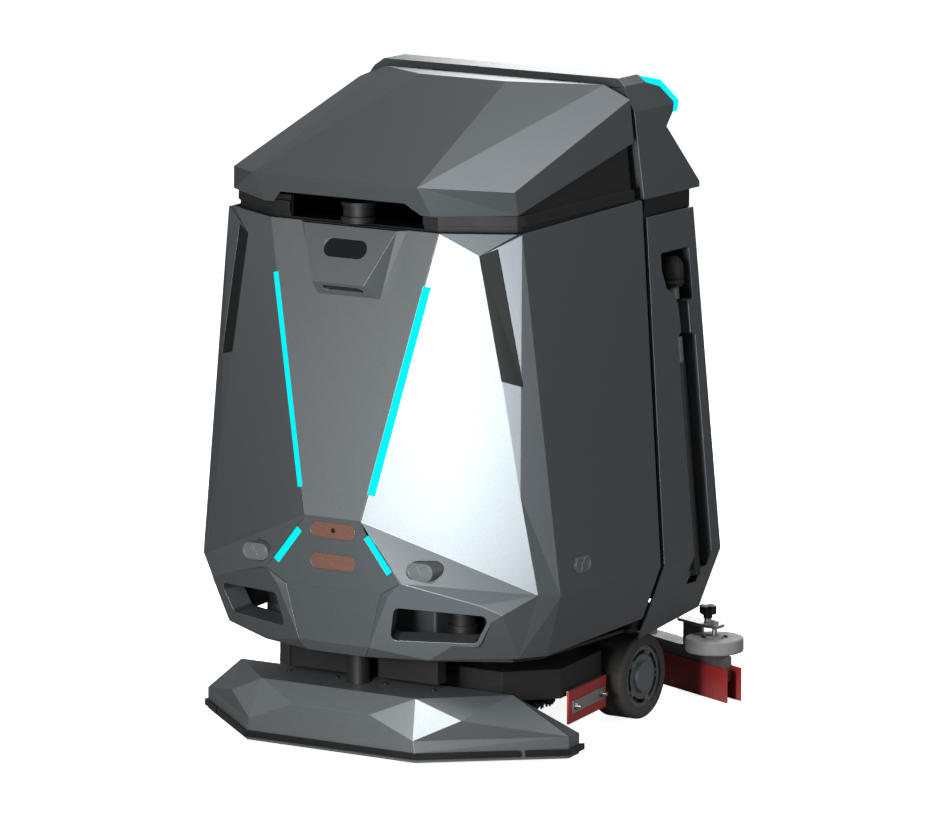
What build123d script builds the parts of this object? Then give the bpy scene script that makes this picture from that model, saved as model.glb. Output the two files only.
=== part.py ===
# Commercial robotic floor scrubber: a faceted body over a steel chassis, two driven wheels,
# a front caster, a lifting scrub deck with two disc brushes, a rear squeegee and a front bumper.
# Millimetres. The origin is on the floor at the centre of the bounding box, the machine's nose
# faces -Y, its tail +Y, and +Z is up. "right" is the +X side and "left" the -X side.
import os
from math import sqrt

from build123d import *

os.makedirs("parts", exist_ok=True)

# ---------------------------------------------------------------- driving dimensions
# body
body_width = 813.0  # across the waist
nose_y = -481.0  # flat nose face
tail_y = 284.0  # back of the rear shell at the waist
waist_z = 320.0  # widest line of the body
shoulder_z = 1002.0  # top edge of the front cover
seam_rise = 11.0  # the side's top edge climbs this much to the seam
skirt_z = 193.0  # lowest edge of the front cover
rear_skirt_z = 169.0  # lowest edge of the rear shell
side_lean = 0.111  # inward lean of the sides above the waist, per mm of height
under_lean = 0.39  # inward lean of the sides below the waist
seam_y = 44.0  # seam between front cover and rear shell, at the waist
seam_lean = 0.0734  # the seam leans back above the waist
seam_gap = 14.0  # dark groove between the two shells
cover_wall = 8.0  # moulded covers
hood_wall = 5.0
# wheels
wheel_radius = 83.0
wheel_width = 75.0
wheel_y = 109.0
wheel_inner_x = 251.0
caster_radius = 37.5
caster_width = 32.0
caster_y = -300.0
caster_trail = 24.0
# scrub deck
brush_radius = 126.0
brush_height = 42.0
brush_x = 134.0
brush_y = -132.0
deck_lift = 38.0  # the deck is stored this far above its working height
deck_height = 57.0
deck_front_y = -268.0
deck_rear_y = 5.0
skirt_height = 62.0
chassis_z = 186.0  # underside of the chassis plate
chassis_plate = 6.0
# squeegee
blade_height = 66.0
blade_thickness = 4.0
blade_reach = 400.0  # half of the squeegee's width
squeegee_y = 487.0  # back of the rear blade, on the centre line
roller_radius = 57.0
roller_height = 28.0
# bumper
bumper_reach = 412.0  # half of the bumper's width
bumper_travel = 15.0
# fits
gap = 0.4  # between parts that lie flush in one another
play = 0.06  # radial, between a shaft and the hole it turns in
travel_gap = 0.5  # between parts of different bodies

half = body_width / 2


# ---------------------------------------------------------------- helpers
def side_x(z, inset=0.0):
    """Half width of the body at height z."""
    if z >= waist_z:
        return half - side_lean * (z - waist_z) - inset
    return half - under_lean * (waist_z - z) - inset


def seam_at(z):
    """Y of the middle of the seam at height z."""
    if z >= waist_z:
        return seam_y + seam_lean * (z - waist_z)
    return seam_y + 0.027 * (waist_z - z)


def tail_at(z):
    """Y of the rear shell's back face at height z."""
    return tail_y + 0.018 * (z - waist_z)


def facets(points, faces):
    """A closed solid from named points and the loops of its flat faces."""
    return Solid(
        Shell([Face(Wire.make_polygon([points[n] for n in loop])) for loop in faces])
    )


def plane_y(a, b, c):
    """For the plane through three points, the function that gives y at (x, z)."""
    n = (Vector(*b) - Vector(*a)).cross(Vector(*c) - Vector(*a))
    return lambda x, z: a[1] - (n.X * (x - a[0]) + n.Z * (z - a[2])) / n.Y


def face_plane(a, b, c, outward):
    """A plane through three points, its normal on the outward side, x along a to b."""
    n = (Vector(*b) - Vector(*a)).cross(Vector(*c) - Vector(*a))
    if n.dot(Vector(*outward)) < 0:
        n = n * -1
    return Plane(origin=a, x_dir=Vector(*b) - Vector(*a), z_dir=n)


def on_plane(plane, points):
    """The points in the plane's own two coordinates."""
    local = [plane.to_local_coords(Vector(*p)) for p in points]
    return [(p.X, p.Y) for p in local]


# ---------------------------------------------------------------- the front cover's corners
v_top = (189, nose_y + 75, shoulder_z)
v_bottom = (63, nose_y, 454)
hex_side = (152, nose_y, 345)
hex_low = (105, nose_y, 317.5)
flap_low = (79, nose_y + 3, 214)
chin = (62, nose_y + 12, skirt_z)
block_inner = (half - 101.5, nose_y + 113, shoulder_z - 274)
main_y = plane_y(v_top, v_bottom, block_inner)
apex = (half - 145.5, main_y(half - 145.5, shoulder_z - 41), shoulder_z - 41)
step_inner = (half - 64.5, main_y(half - 64.5, 512), 512)
waist_inner = (half - 29.5, main_y(half - 29.5, waist_z + 6), waist_z + 6)
corner_top = (side_x(shoulder_z), nose_y + 142, shoulder_z)
tri_outer = (corner_top[0] - 11, nose_y + 144, shoulder_z)
waist_front = (half, nose_y + 160, waist_z)
low_mid = (185, nose_y + 47, skirt_z + 1)
crease = (half - 77.5, nose_y + 79.5, 290)
scoop_y = plane_y(flap_low, low_mid, crease)
ledge_0 = (125, scoop_y(125, 316.5), 316.5)
ledge_1 = (219, scoop_y(219, 312.5), 312.5)
ledge_2 = (half - 118.5, scoop_y(half - 118.5, 308), 308)
low_outer = (half - 77.5, nose_y + 134, skirt_z + 4.6)
corner_low = (side_x(skirt_z + 4.6), nose_y + 189, skirt_z + 4.6)
cover_back_top = shoulder_z + seam_rise
cover_back_low = skirt_z + 20


def front_half(shift_x=0.0, shift_y=0.0):
    """The right half of the front body as a solid block."""
    back = seam_gap / 2
    p = {
        "top0": (0, v_top[1], shoulder_z),
        "vTop": v_top,
        "vBot": v_bottom,
        "v0": (0, nose_y, v_bottom[2]),
        "hexSide": hex_side,
        "hexLow": hex_low,
        "hex0": (0, nose_y, hex_low[2]),
        "flapLow": flap_low,
        "flap0": (0, flap_low[1], flap_low[2]),
        "chin": chin,
        "chin0": (0, chin[1], chin[2]),
        "apex": apex,
        "blockIn": block_inner,
        "stepIn": step_inner,
        "waistIn": waist_inner,
        "triOut": tri_outer,
        "cornerTop": corner_top,
        "waist": waist_front,
        "lowMid": low_mid,
        "crease": crease,
        "ledge0": ledge_0,
        "ledge1": ledge_1,
        "ledge2": ledge_2,
        "lowOut": low_outer,
        "cornerLow": corner_low,
        "seamTop": (side_x(cover_back_top), seam_at(cover_back_top) - back, cover_back_top),
        "seamTop0": (0, seam_at(cover_back_top) - back, cover_back_top),
        "seamWaist": (half, seam_y - back, waist_z),
        "seamWaist0": (0, seam_y - back, waist_z),
        "seamLow": (side_x(cover_back_low), seam_at(cover_back_low) - back, cover_back_low),
        "seamLow0": (0, seam_at(cover_back_low) - back, cover_back_low),
    }
    p = {n: (x + shift_x, y + shift_y, z) for n, (x, y, z) in p.items()}
    return facets(
        p,
        [
            ("top0", "vTop", "vBot", "v0"),
            ("v0", "vBot", "hexSide", "hexLow", "hex0"),
            ("hex0", "hexLow", "flapLow", "flap0"),
            ("flap0", "flapLow", "chin", "chin0"),
            ("vTop", "apex", "blockIn", "stepIn", "waistIn", "vBot"),
            ("vBot", "waistIn", "hexSide"),
            ("hexSide", "ledge0", "hexLow"),
            ("hexSide", "ledge1", "ledge0"),
            ("hexSide", "ledge2", "ledge1"),
            ("hexSide", "waistIn", "ledge2"),
            ("ledge2", "waistIn", "crease"),
            ("hexLow", "ledge0", "flapLow"),
            ("flapLow", "ledge0", "ledge1", "ledge2", "crease", "lowMid"),
            ("flapLow", "lowMid", "chin"),
            ("waistIn", "lowOut", "crease"),
            ("crease", "lowOut", "lowMid"),
            ("vTop", "triOut", "apex"),
            ("triOut", "cornerTop", "apex"),
            ("cornerTop", "blockIn", "apex"),
            ("cornerTop", "stepIn", "blockIn"),
            ("cornerTop", "waist", "stepIn"),
            ("waist", "waistIn", "stepIn"),
            ("waistIn", "waist", "lowOut"),
            ("waist", "cornerLow", "lowOut"),
            ("cornerTop", "seamTop", "seamWaist", "waist"),
            ("waist", "seamWaist", "seamLow"),
            ("waist", "seamLow", "cornerLow"),
            ("top0", "vTop", "seamTop0"),
            ("vTop", "triOut", "seamTop0"),
            ("triOut", "cornerTop", "seamTop0"),
            ("cornerTop", "seamTop", "seamTop0"),
            ("seamTop0", "seamTop", "seamWaist", "seamWaist0"),
            ("seamWaist0", "seamWaist", "seamLow", "seamLow0"),
            ("chin0", "chin", "seamLow0"),
            ("chin", "lowMid", "seamLow0"),
            ("lowMid", "lowOut", "seamLow0"),
            ("lowOut", "cornerLow", "seamLow0"),
            ("cornerLow", "seamLow", "seamLow0"),
            ("top0", "v0", "hex0", "flap0", "chin0", "seamLow0", "seamWaist0", "seamTop0"),
        ],
    )




# ---------------------------------------------------------------- the front body block
with BuildPart() as front_block:
    add(front_half())
    mirror(about=Plane.YZ)


def skin(outline, depth, proud=0.0, grow=0.0, inward=0.0):
    """A flush plate: the body's front surface inside an outline drawn in x and z."""
    with BuildPart(mode=Mode.PRIVATE) as plate:
        with BuildSketch(Plane.XZ.offset(-nose_y - 400)):
            with BuildLine():
                Polyline(*outline, close=True)
            make_face()
            if grow:
                offset(amount=grow, kind=Kind.INTERSECTION)
        extrude(amount=500)
        add(front_block.part.moved(Location((0, -proud, 0))), mode=Mode.INTERSECT)
        sign = -1 if outline[0][0] > 0 else 1
        add(
            front_block.part.moved(Location((sign * inward, depth, 0))),
            mode=Mode.SUBTRACT,
        )
    return plate.part


def stadium(length, height, plane, depth, centre=(0, 0)):
    """A block with a rounded-end outline, drawn on a plane and run along its normal."""
    with BuildPart(mode=Mode.PRIVATE) as bar:
        with BuildSketch(plane):
            with Locations(centre):
                SlotOverall(length, height)
        extrude(amount=depth)
    return bar.part


panel_depth = 4.5
window_length = 100.0
window_height = 30.0
window_z = (430.0, 370.0)
panel_outline = [
    (-v_top[0], v_top[2]),
    (v_top[0], v_top[2]),
    (v_bottom[0], v_bottom[2]),
    (-v_bottom[0], v_bottom[2]),
]
nose_outline = [
    (-v_bottom[0], v_bottom[2] - 1),
    (v_bottom[0], v_bottom[2] - 1),
    (hex_side[0], hex_side[2]),
    (hex_low[0], hex_low[2] + 1),
    (-hex_low[0], hex_low[2] + 1),
    (-hex_side[0], hex_side[2]),
]
chin_outline = [
    (-hex_low[0], hex_low[2]),
    (hex_low[0], hex_low[2]),
    (flap_low[0], flap_low[2]),
    (chin[0], chin[2] - 5),
    (-chin[0], chin[2] - 5),
    (-flap_low[0], flap_low[2]),
]


def strip_outline(top, bottom, width):
    """A bar of constant width between two points in x and z."""
    run = Vector(bottom[0] - top[0], bottom[1] - top[1]).normalized()
    side = Vector(-run.Y, run.X) * (width / 2)
    return [
        (top[0] + side.X, top[1] + side.Y),
        (top[0] - side.X, top[1] - side.Y),
        (bottom[0] - side.X, bottom[1] - side.Y),
        (bottom[0] + side.X, bottom[1] + side.Y),
    ]


led_width = 13.0
led_depth = 2.5
led_lines = [((170, 900), (80, 505)), ((76, 426), (128, 361))]
led_outlines = [strip_outline(top, low, led_width) for top, low in led_lines]
led_outlines += [[(-x, z) for x, z in o] for o in led_outlines]

# dark inlays in the upper half of each corner strip
inlay_outer = (side_x(718) - 22, 718)
inlay_outline = [
    (apex[0], apex[2]),
    (side_x(974) - 43, 974),
    inlay_outer,
    (block_inner[0], block_inner[2]),
]
inlay_outlines = [inlay_outline, [(-x, z) for x, z in inlay_outline]]

# scoops in the lower corners, in front of the corner scanners
scoop_plane = face_plane(flap_low, low_mid, crease, (0.4, -1, 0))
scoop_window = [
    (134, scoop_y(134, 295.7), 295.7),
    (half - 101.5, scoop_y(half - 101.5, 286), 286),
    (half - 132, scoop_y(half - 132, 231.6), 231.6),
    (119.5, scoop_y(119.5, 231), 231),
]
scoop_depth = 44.0
scoop_rim = 8.0

# front sonar pods
sonar_length = 58.0
sonar_height = 32.0
pod_x = 186.0
pod_z = 369.0
pod_face_y = nose_y + 13
pod_plane = Plane(origin=(0, pod_face_y, 0), x_dir=(1, 0, 0), z_dir=(0, -1, 0))
side_planes = [
    Plane(origin=(s * half, 0, waist_z), x_dir=(0, s, 0), z_dir=(s, 0, side_lean)) for s in (-1, 1)
]
right_plane = side_planes[1]
slope = sqrt(1 + side_lean**2)  # distance up the side per mm of height
side_sonar = (nose_y + 246, 49.0)  # y, and distance above the waist

# the sloping triangles at the top of each front corner, as thick plates
corner_caps = [(v_top, tri_outer, apex), (tri_outer, corner_top, apex)]
cap_shift = (-3, 6, -8)


def corner_cap(triangle):
    """A thick plate under one of the corner's triangles."""
    p = {}
    for name, point in zip("abc", triangle):
        p[name] = point
        p[name + "2"] = tuple(v + d for v, d in zip(point, cap_shift))
    sides = [("a", "b", "b2", "a2"), ("b", "c", "c2", "b2"), ("c", "a", "a2", "c2")]
    return facets(p, [("a", "b", "c"), ("a2", "b2", "c2"), *sides])


# the front cover
with BuildPart() as scoop_ring:
    with BuildSketch(scoop_plane):
        with BuildLine():
            Polyline(*on_plane(scoop_plane, scoop_window), close=True)
        make_face()
        fillet(vertices(), radius=11)
        offset(amount=scoop_rim)
    extrude(amount=-scoop_depth)
    mirror(about=Plane.YZ)
with BuildPart() as scoop_hole:
    with BuildSketch(scoop_plane.offset(5)):
        with BuildLine():
            Polyline(*on_plane(scoop_plane, scoop_window), close=True)
        make_face()
        fillet(vertices(), radius=11)
    extrude(amount=-scoop_depth - 10)
    mirror(about=Plane.YZ)

with BuildPart() as front_cover:
    add(front_half())
    # the void, and again a little higher so that the cover is open at the top
    for rise in (0, 3):
        void = front_half(-cover_wall, cover_wall).moved(Location((0, 0, rise)))
        add(void, mode=Mode.SUBTRACT)
    for triangle in corner_caps:
        add(corner_cap(triangle))
    mirror(about=Plane.YZ)
    add(scoop_ring.part)
    add(scoop_hole.part, mode=Mode.SUBTRACT)
    for outline in (panel_outline, nose_outline):
        add(skin(outline, panel_depth, 1, gap), mode=Mode.SUBTRACT)
    with BuildSketch(Plane.XZ.offset(-nose_y + 20)):
        with BuildLine():
            Polyline(*chin_outline, close=True)
        make_face()
        offset(amount=gap, kind=Kind.INTERSECTION)
    extrude(amount=-cover_wall - 34, mode=Mode.SUBTRACT)
    for outline in led_outlines[:1] + led_outlines[2:3]:
        add(skin(outline, led_depth, 1, gap / 2), mode=Mode.SUBTRACT)
    for outline in inlay_outlines:
        add(skin(outline, 4, 1, gap, 2), mode=Mode.SUBTRACT)
    for z in window_z:
        add(
            stadium(window_length - 6, window_height - 6, Plane.XZ.offset(-nose_y - 40), 80, (0, z)),
            mode=Mode.SUBTRACT,
        )
    for x in (-pod_x, pod_x):
        add(
            stadium(
                sonar_length + 2 * gap, sonar_height + 2 * gap, pod_plane.offset(30), -100, (x, pod_z)
            ),
            mode=Mode.SUBTRACT,
        )
    for plane, sign in zip(side_planes, (-1, 1)):
        seat = (sign * side_sonar[0], side_sonar[1])
        add(
            stadium(sonar_length + gap, sonar_height + gap, plane.offset(3), -30, seat),
            mode=Mode.SUBTRACT,
        )
front_cover.part.label = "front_cover"
export_step(front_cover.part, "parts/front_cover.step")

# the V-shaped centre panel, with a seat for the light strips along its edges
with BuildPart() as centre_panel:
    add(skin(panel_outline, panel_depth))
    for outline in led_outlines[:1] + led_outlines[2:3]:
        add(skin(outline, led_depth, 1, gap / 2), mode=Mode.SUBTRACT)
centre_panel.part.label = "centre_panel"
export_step(centre_panel.part, "parts/centre_panel.step")

# the flat nose panel, with the two camera windows' holes
with BuildPart() as nose_panel:
    add(skin(nose_outline, panel_depth))
    for outline in led_outlines[1:2] + led_outlines[3:4]:
        add(skin(outline, led_depth, 1, gap / 2), mode=Mode.SUBTRACT)
    for z in window_z:
        hole = stadium(
            window_length + gap, window_height + gap, Plane.XZ.offset(-nose_y - 20), 40, (0, z)
        )
        add(hole, mode=Mode.SUBTRACT)
nose_panel.part.label = "nose_panel"
export_step(nose_panel.part, "parts/nose_panel.step")

# camera windows: bronze plates in the nose panel, the upper one with a lens hole
window_set = 0.6
with BuildPart() as camera_windows:
    for z in window_z:
        with BuildSketch(Plane.XZ.offset(-nose_y - window_set)):
            with Locations((0, z)):
                SlotOverall(window_length, window_height)
        extrude(amount=window_set - panel_depth)
    with BuildSketch(Plane.XZ.offset(-nose_y)):
        with Locations((0, window_z[0])):
            Circle(5)
    extrude(amount=-20, mode=Mode.SUBTRACT)
camera_windows.part.label = "camera_windows"
export_step(camera_windows.part, "parts/camera_windows.step")

# depth cameras: housings behind the cover, with lens barrels that reach into the cover's holes
with BuildPart() as depth_cameras:
    for z in window_z:
        with BuildSketch(Plane.XZ.offset(-nose_y - cover_wall)):
            with Locations((0, z)):
                RectangleRounded(124, 36, 6)
        extrude(amount=-26)
        with BuildSketch(Plane.XZ.offset(-nose_y - panel_depth - 1)):
            with Locations((-28, z), (28, z)):
                Circle(9)
        extrude(amount=panel_depth + 1 - cover_wall)
depth_cameras.part.label = "depth_cameras"
export_step(depth_cameras.part, "parts/depth_cameras.step")

# light strips, in seats that cross the panels' edges
with BuildPart() as led_strips:
    for outline in led_outlines:
        add(skin(outline, led_depth, 0.8))
led_strips.part.label = "led_strips"
export_step(led_strips.part, "parts/led_strips.step")

with BuildPart() as corner_inlays:
    for outline in inlay_outlines:
        add(skin(outline, 4, -0.6, 0, 2))
corner_inlays.part.label = "corner_inlays"
export_step(corner_inlays.part, "parts/corner_inlays.step")

# the chin panel closes the cover's lower front, with a ledge behind its top edge
with BuildPart() as chin_panel:
    add(skin(chin_outline, panel_depth))
chin_panel.part.label = "chin_panel"
export_step(chin_panel.part, "parts/chin_panel.step")

# the camera visor: a wedge on the upper panel with windows in its face and underside
visor_points = {
    "ft0": (0, v_top[1] - 14, shoulder_z - 1),
    "ft": (105, v_top[1] - 14, shoulder_z - 1),
    "fb0": (0, nose_y + 18, shoulder_z - 103),
    "fb": (59, nose_y + 18, shoulder_z - 103),
}
panel_y = plane_y(v_top, v_bottom, (-63, nose_y, 454))
visor_points["ub"] = (70, panel_y(70, shoulder_z - 133), shoulder_z - 133)
visor_points["ub0"] = (0, panel_y(0, shoulder_z - 133), shoulder_z - 133)
visor_points["bt"] = (120, panel_y(120, shoulder_z - 1), shoulder_z - 1)
visor_points["bt0"] = (0, panel_y(0, shoulder_z - 1), shoulder_z - 1)
visor_half = facets(
    visor_points,
    [
        ("ft0", "ft", "fb", "fb0"),
        ("fb0", "fb", "ub", "ub0"),
        ("ft", "bt", "ub"),
        ("ft", "ub", "fb"),
        ("ft0", "ft", "bt", "bt0"),
        ("bt0", "bt", "ub", "ub0"),
        ("ft0", "fb0", "ub0", "bt0"),
    ],
)
visor_face = face_plane(
    visor_points["fb0"], visor_points["fb"], visor_points["ft0"], (0, -1, 0)
)
visor_under = face_plane(
    visor_points["ub0"], visor_points["ub"], visor_points["fb0"], (0, -1, -1)
)
visor_seats = [(visor_face, 96.0, 36.0, 68.0, 9.0), (visor_under, 90.0, 20.0, 26.0, 6.0)]
with BuildPart() as camera_visor:
    add(visor_half)
    mirror(about=Plane.YZ)
    for plane, length, height, rise, depth in visor_seats:
        turned = rise if plane.y_dir.Z > 0 or plane is visor_under else -rise
        add(stadium(length, height, plane, -depth, (0, turned)), mode=Mode.SUBTRACT)
camera_visor.part.label = "camera_visor"
export_step(camera_visor.part, "parts/camera_visor.step")

with BuildPart() as visor_windows:
    for plane, length, height, rise, depth in visor_seats:
        turned = rise if plane.y_dir.Z > 0 or plane is visor_under else -rise
        add(stadium(length - gap, height - gap, plane.offset(-depth), depth - 3, (0, turned)))
visor_windows.part.label = "visor_windows"
export_step(visor_windows.part, "parts/visor_windows.step")

# front sonar pods: double transducers in rounded housings
def sonar_eyes(plane, x, y):
    """The raised rings round a pod's two transducers."""
    with BuildPart(mode=Mode.PRIVATE) as rings:
        with BuildSketch(plane):
            with Locations((x - 13.5, y), (x + 13.5, y)):
                Circle(12)
                Circle(10.5, mode=Mode.SUBTRACT)
        extrude(amount=0.8)
    return rings.part


with BuildPart() as front_sonars:
    for x in (-pod_x, pod_x):
        add(stadium(sonar_length, sonar_height, pod_plane, -66, (x, pod_z)))
        add(sonar_eyes(pod_plane, x, pod_z))
front_sonars.part.label = "front_sonars"
export_step(front_sonars.part, "parts/front_sonars.step")

with BuildPart() as side_sonars:
    for plane, sign in zip(side_planes, (-1, 1)):
        seat = (sign * side_sonar[0], side_sonar[1])
        add(stadium(sonar_length, sonar_height, plane.offset(0.5), -26, seat))
        add(sonar_eyes(plane.offset(0.5), *seat))
side_sonars.part.label = "side_sonars"
export_step(side_sonars.part, "parts/side_sonars.step")

# corner scanners behind the scoops
scanner_x = 206.0
scanner_y = nose_y + 134
with BuildPart() as corner_lidars:
    for x in (-scanner_x, scanner_x):
        with BuildSketch(Plane.XY.offset(232)):
            with Locations((x, scanner_y)):
                Circle(29)
        extrude(amount=20)
        with BuildSketch(Plane.XY.offset(252)):
            with Locations((x, scanner_y)):
                Circle(25)
        extrude(amount=18)
        with BuildSketch(Plane.XY.offset(270)):
            with Locations((x, scanner_y)):
                Circle(29)
        extrude(amount=8)
        with BuildSketch(Plane.XY.offset(chassis_z + chassis_plate)):
            with Locations((x, scanner_y + 20)):
                Rectangle(40, 14)
        extrude(amount=232 - chassis_z - chassis_plate + 8)
corner_lidars.part.label = "corner_lidars"
export_step(corner_lidars.part, "parts/corner_lidars.step")

# ---------------------------------------------------------------- rear shell
shell_top = shoulder_z - 24
shell_low_back = rear_skirt_z + 30
corner_cut = 26.0


def rear_half(shift_x=0.0, shift_y=0.0):
    """The right half of the rear body as a solid block."""
    front = seam_gap / 2

    def level(z):
        return {
            "f0": (0, seam_at(z) + front, z),
            "f": (side_x(z), seam_at(z) + front, z),
            "r": (side_x(z), tail_at(z) - corner_cut, z),
            "c": (side_x(z) - corner_cut, tail_at(z), z),
            "r0": (0, tail_at(z), z),
        }

    p = {}
    for name, z in (("top", shell_top), ("waist", waist_z)):
        p.update({name + key: point for key, point in level(z).items()})
    low, back = level(rear_skirt_z), level(shell_low_back)
    p.update({"lowf0": low["f0"], "lowf": low["f"]})
    p.update({"low" + key: back[key] for key in ("r", "c", "r0")})
    p = {n: (x + shift_x, y + shift_y, z) for n, (x, y, z) in p.items()}
    return facets(
        p,
        [
            ("topf0", "topf", "topr", "topc", "topr0"),
            ("topf", "waistf", "waistr", "topr"),
            ("topr", "waistr", "waistc", "topc"),
            ("topc", "waistc", "waistr0", "topr0"),
            ("waistf", "lowf", "lowr", "waistr"),
            ("waistr", "lowr", "waistc"),
            ("lowr", "lowc", "waistc"),
            ("waistc", "lowc", "lowr0", "waistr0"),
            ("topf0", "waistf0", "waistf", "topf"),
            ("waistf0", "lowf0", "lowf", "waistf"),
            ("lowf0", "lowr0", "lowf"),
            ("lowr0", "lowc", "lowf"),
            ("lowc", "lowr", "lowf"),
            ("topf0", "topr0", "waistr0", "lowr0", "lowf0", "waistf0"),
        ],
    )


# the drain hose's recess in the right side: points of y and height, round the opening
recess_depth = 62.0
recess_wall = 5.0
recess_points = [
    (138, 905),
    (241, 905),
    (237, 804),
    (221, 804),
    (219, 740),
    (236, 740),
    (224, 290),
    (160, 290),
    (172, 740),
    (186, 748),
    (184, 802),
    (174, 822),
    (148, 836),
    (136, 872),
]
recess_outline = [(y, (z - waist_z) * slope) for y, z in recess_points]


def recess(grow, depth):
    with BuildPart(mode=Mode.PRIVATE) as tub:
        with BuildSketch(right_plane.offset(20)):
            with BuildLine():
                Polyline(*recess_outline, close=True)
            make_face()
            fillet(vertices(), radius=3)
            if grow:
                offset(amount=grow, kind=Kind.INTERSECTION)
        extrude(amount=-depth - 20)
    return tub.part


with BuildPart() as rear_block:
    add(rear_half())
    mirror(about=Plane.YZ)
with BuildPart() as recess_tub:
    add(recess(recess_wall, recess_depth + recess_wall))
    add(rear_block.part, mode=Mode.INTERSECT)

# hose line: parallel to the side, its foot a little forward of its head
hose_radius = 19.0
hose_inset = 30.0
hose_foot = Vector(half + side_lean * (waist_z - 300) - hose_inset, 190, 300)
hose_head = Vector(side_x(862) - hose_inset, 208, 862)
hose_line = (hose_head - hose_foot).normalized()


def hose_plane(z):
    """A plane across the hose's line at height z."""
    at = hose_foot + hose_line * ((z - hose_foot.Z) / hose_line.Z)
    return Plane(origin=at, x_dir=(0, 1, 0), z_dir=hose_line)


vent_count = 9
vent_pitch = 17.0
with BuildPart() as rear_shell:
    add(rear_half())
    # the void, and again a little lower and higher so that the shell is open below and above
    for rise in (-8, 0, 8):
        void = rear_half(-cover_wall, -cover_wall).moved(Location((0, 0, rise)))
        add(void, mode=Mode.SUBTRACT)
    mirror(about=Plane.YZ)
    add(recess_tub.part)
    add(recess(0, recess_depth), mode=Mode.SUBTRACT)
    # exhaust slots low in the back
    with BuildSketch(Plane.XZ.offset(-tail_y - 30)):
        with Locations((0, 400)):
            with GridLocations(1, vent_pitch, 1, vent_count):
                SlotOverall(260, 7)
    extrude(amount=60, mode=Mode.SUBTRACT)
    # the hose leaves through the foot of its recess
    with BuildSketch(hose_plane(300)):
        Circle(hose_radius + gap)
    extrude(amount=-40, mode=Mode.SUBTRACT)
rear_shell.part.label = "rear_shell"
export_step(rear_shell.part, "parts/rear_shell.step")

# drain hose, its cuff and valve neck, and the cap that turns on the neck
with BuildPart() as drain_hose:
    with BuildSketch(hose_plane(276)):
        Circle(hose_radius)
        Circle(hose_radius - 4, mode=Mode.SUBTRACT)
    extrude(amount=(684 - 276) / hose_line.Z)
drain_hose.part.label = "drain_hose"
export_step(drain_hose.part, "parts/drain_hose.step")

neck_steps = [(684, 733, 16.5), (733, 806, 10.5), (806, 828, 17.0), (828, 856, 12.0)]
with BuildPart() as drain_neck:
    for low, high, radius in neck_steps:
        with BuildSketch(hose_plane(low)):
            Circle(radius)
        extrude(amount=(high - low) / hose_line.Z)
    with BuildSketch(hose_plane(684)):
        Circle(7)
    extrude(amount=150, mode=Mode.SUBTRACT)
drain_neck.part.label = "drain_neck"
export_step(drain_neck.part, "parts/drain_neck.step")

cap_radius = 28.5
cap_height = 62.0
cap_base = hose_plane(829)
cap_section = Plane(
    origin=cap_base.origin, x_dir=cap_base.x_dir, z_dir=cap_base.x_dir.cross(cap_base.z_dir)
)
with BuildPart() as drain_cap:
    with BuildSketch(cap_section):
        with BuildLine():
            Polyline(
                (12 + play, 0),
                (cap_radius - 3, 0),
                (cap_radius - 3, 4),
                (cap_radius, 6),
                (cap_radius, 10),
                (cap_radius - 2, 12),
                (cap_radius - 2, 15),
                (cap_radius, 17),
                (cap_radius, 44),
                (cap_radius - 9, cap_height - 2),
                (0, cap_height),
                (0, 30),
                (12 + play, 30),
                close=True,
            )
        make_face()
    revolve(axis=Axis(cap_base.origin, cap_base.z_dir))
drain_cap.part.label = "drain_cap"
export_step(drain_cap.part, "parts/drain_cap.step")

# ---------------------------------------------------------------- black frame under the hood
frame_inset = 12.0
frame_wall = 12.0
frame_low = shell_top - 12
hood_lip_z = shoulder_z + 34
slot_half = 150.0
slot_y = nose_y + 140
hood_back = 78.0
side_rise = (shoulder_z + 121 - hood_lip_z) / (hood_back - (nose_y + 144))
# behind this line the frame stays low, because the hood's back wall swings over it
hood_swing_y = hood_back - 33
frame_front = v_top[1] + 9
frame_corner_y = corner_top[1] + 14


def frame_plan(inset):
    """Outline of the frame's front hoop, moved in; its sides stand outside the body's."""
    return [
        (-v_top[0] + 6 + inset * 0.4, frame_front + inset),
        (v_top[0] - 6 - inset * 0.4, frame_front + inset),
        (half - 95 - inset * 0.4, frame_corner_y + inset * 0.8),
        (half - 95 + 30, frame_corner_y + 30 + inset * 0.8),
        (half - 95 + 30, hood_back - 7),
        (-half + 95 - 30, hood_back - 7),
        (-half + 95 - 30, frame_corner_y + 30 + inset * 0.8),
        (-half + 95 + inset * 0.4, frame_corner_y + inset * 0.8),
    ]


def leaning_sides(inset):
    """The two planes that lean with the body's sides, moved in."""
    return [
        Plane(origin=(s * (half - inset), 0, waist_z), x_dir=(0, s, 0), z_dir=(s, 0, side_lean))
        for s in (-1, 1)
    ]


frame_back_y = seam_at(shell_top) - 60
frame_tail_y = tail_y - 6
frame_chamfer = 24.0
strip_foot_z = chassis_z + chassis_plate
with BuildPart() as hoop_void:
    with BuildSketch(Plane.XY.offset(shoulder_z - 20)):
        with BuildLine():
            Polyline(*frame_plan(frame_wall), close=True)
        make_face()
    extrude(amount=300)
    for plane in leaning_sides(frame_inset + frame_wall):
        split(bisect_by=plane, keep=Keep.BOTTOM)
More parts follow.
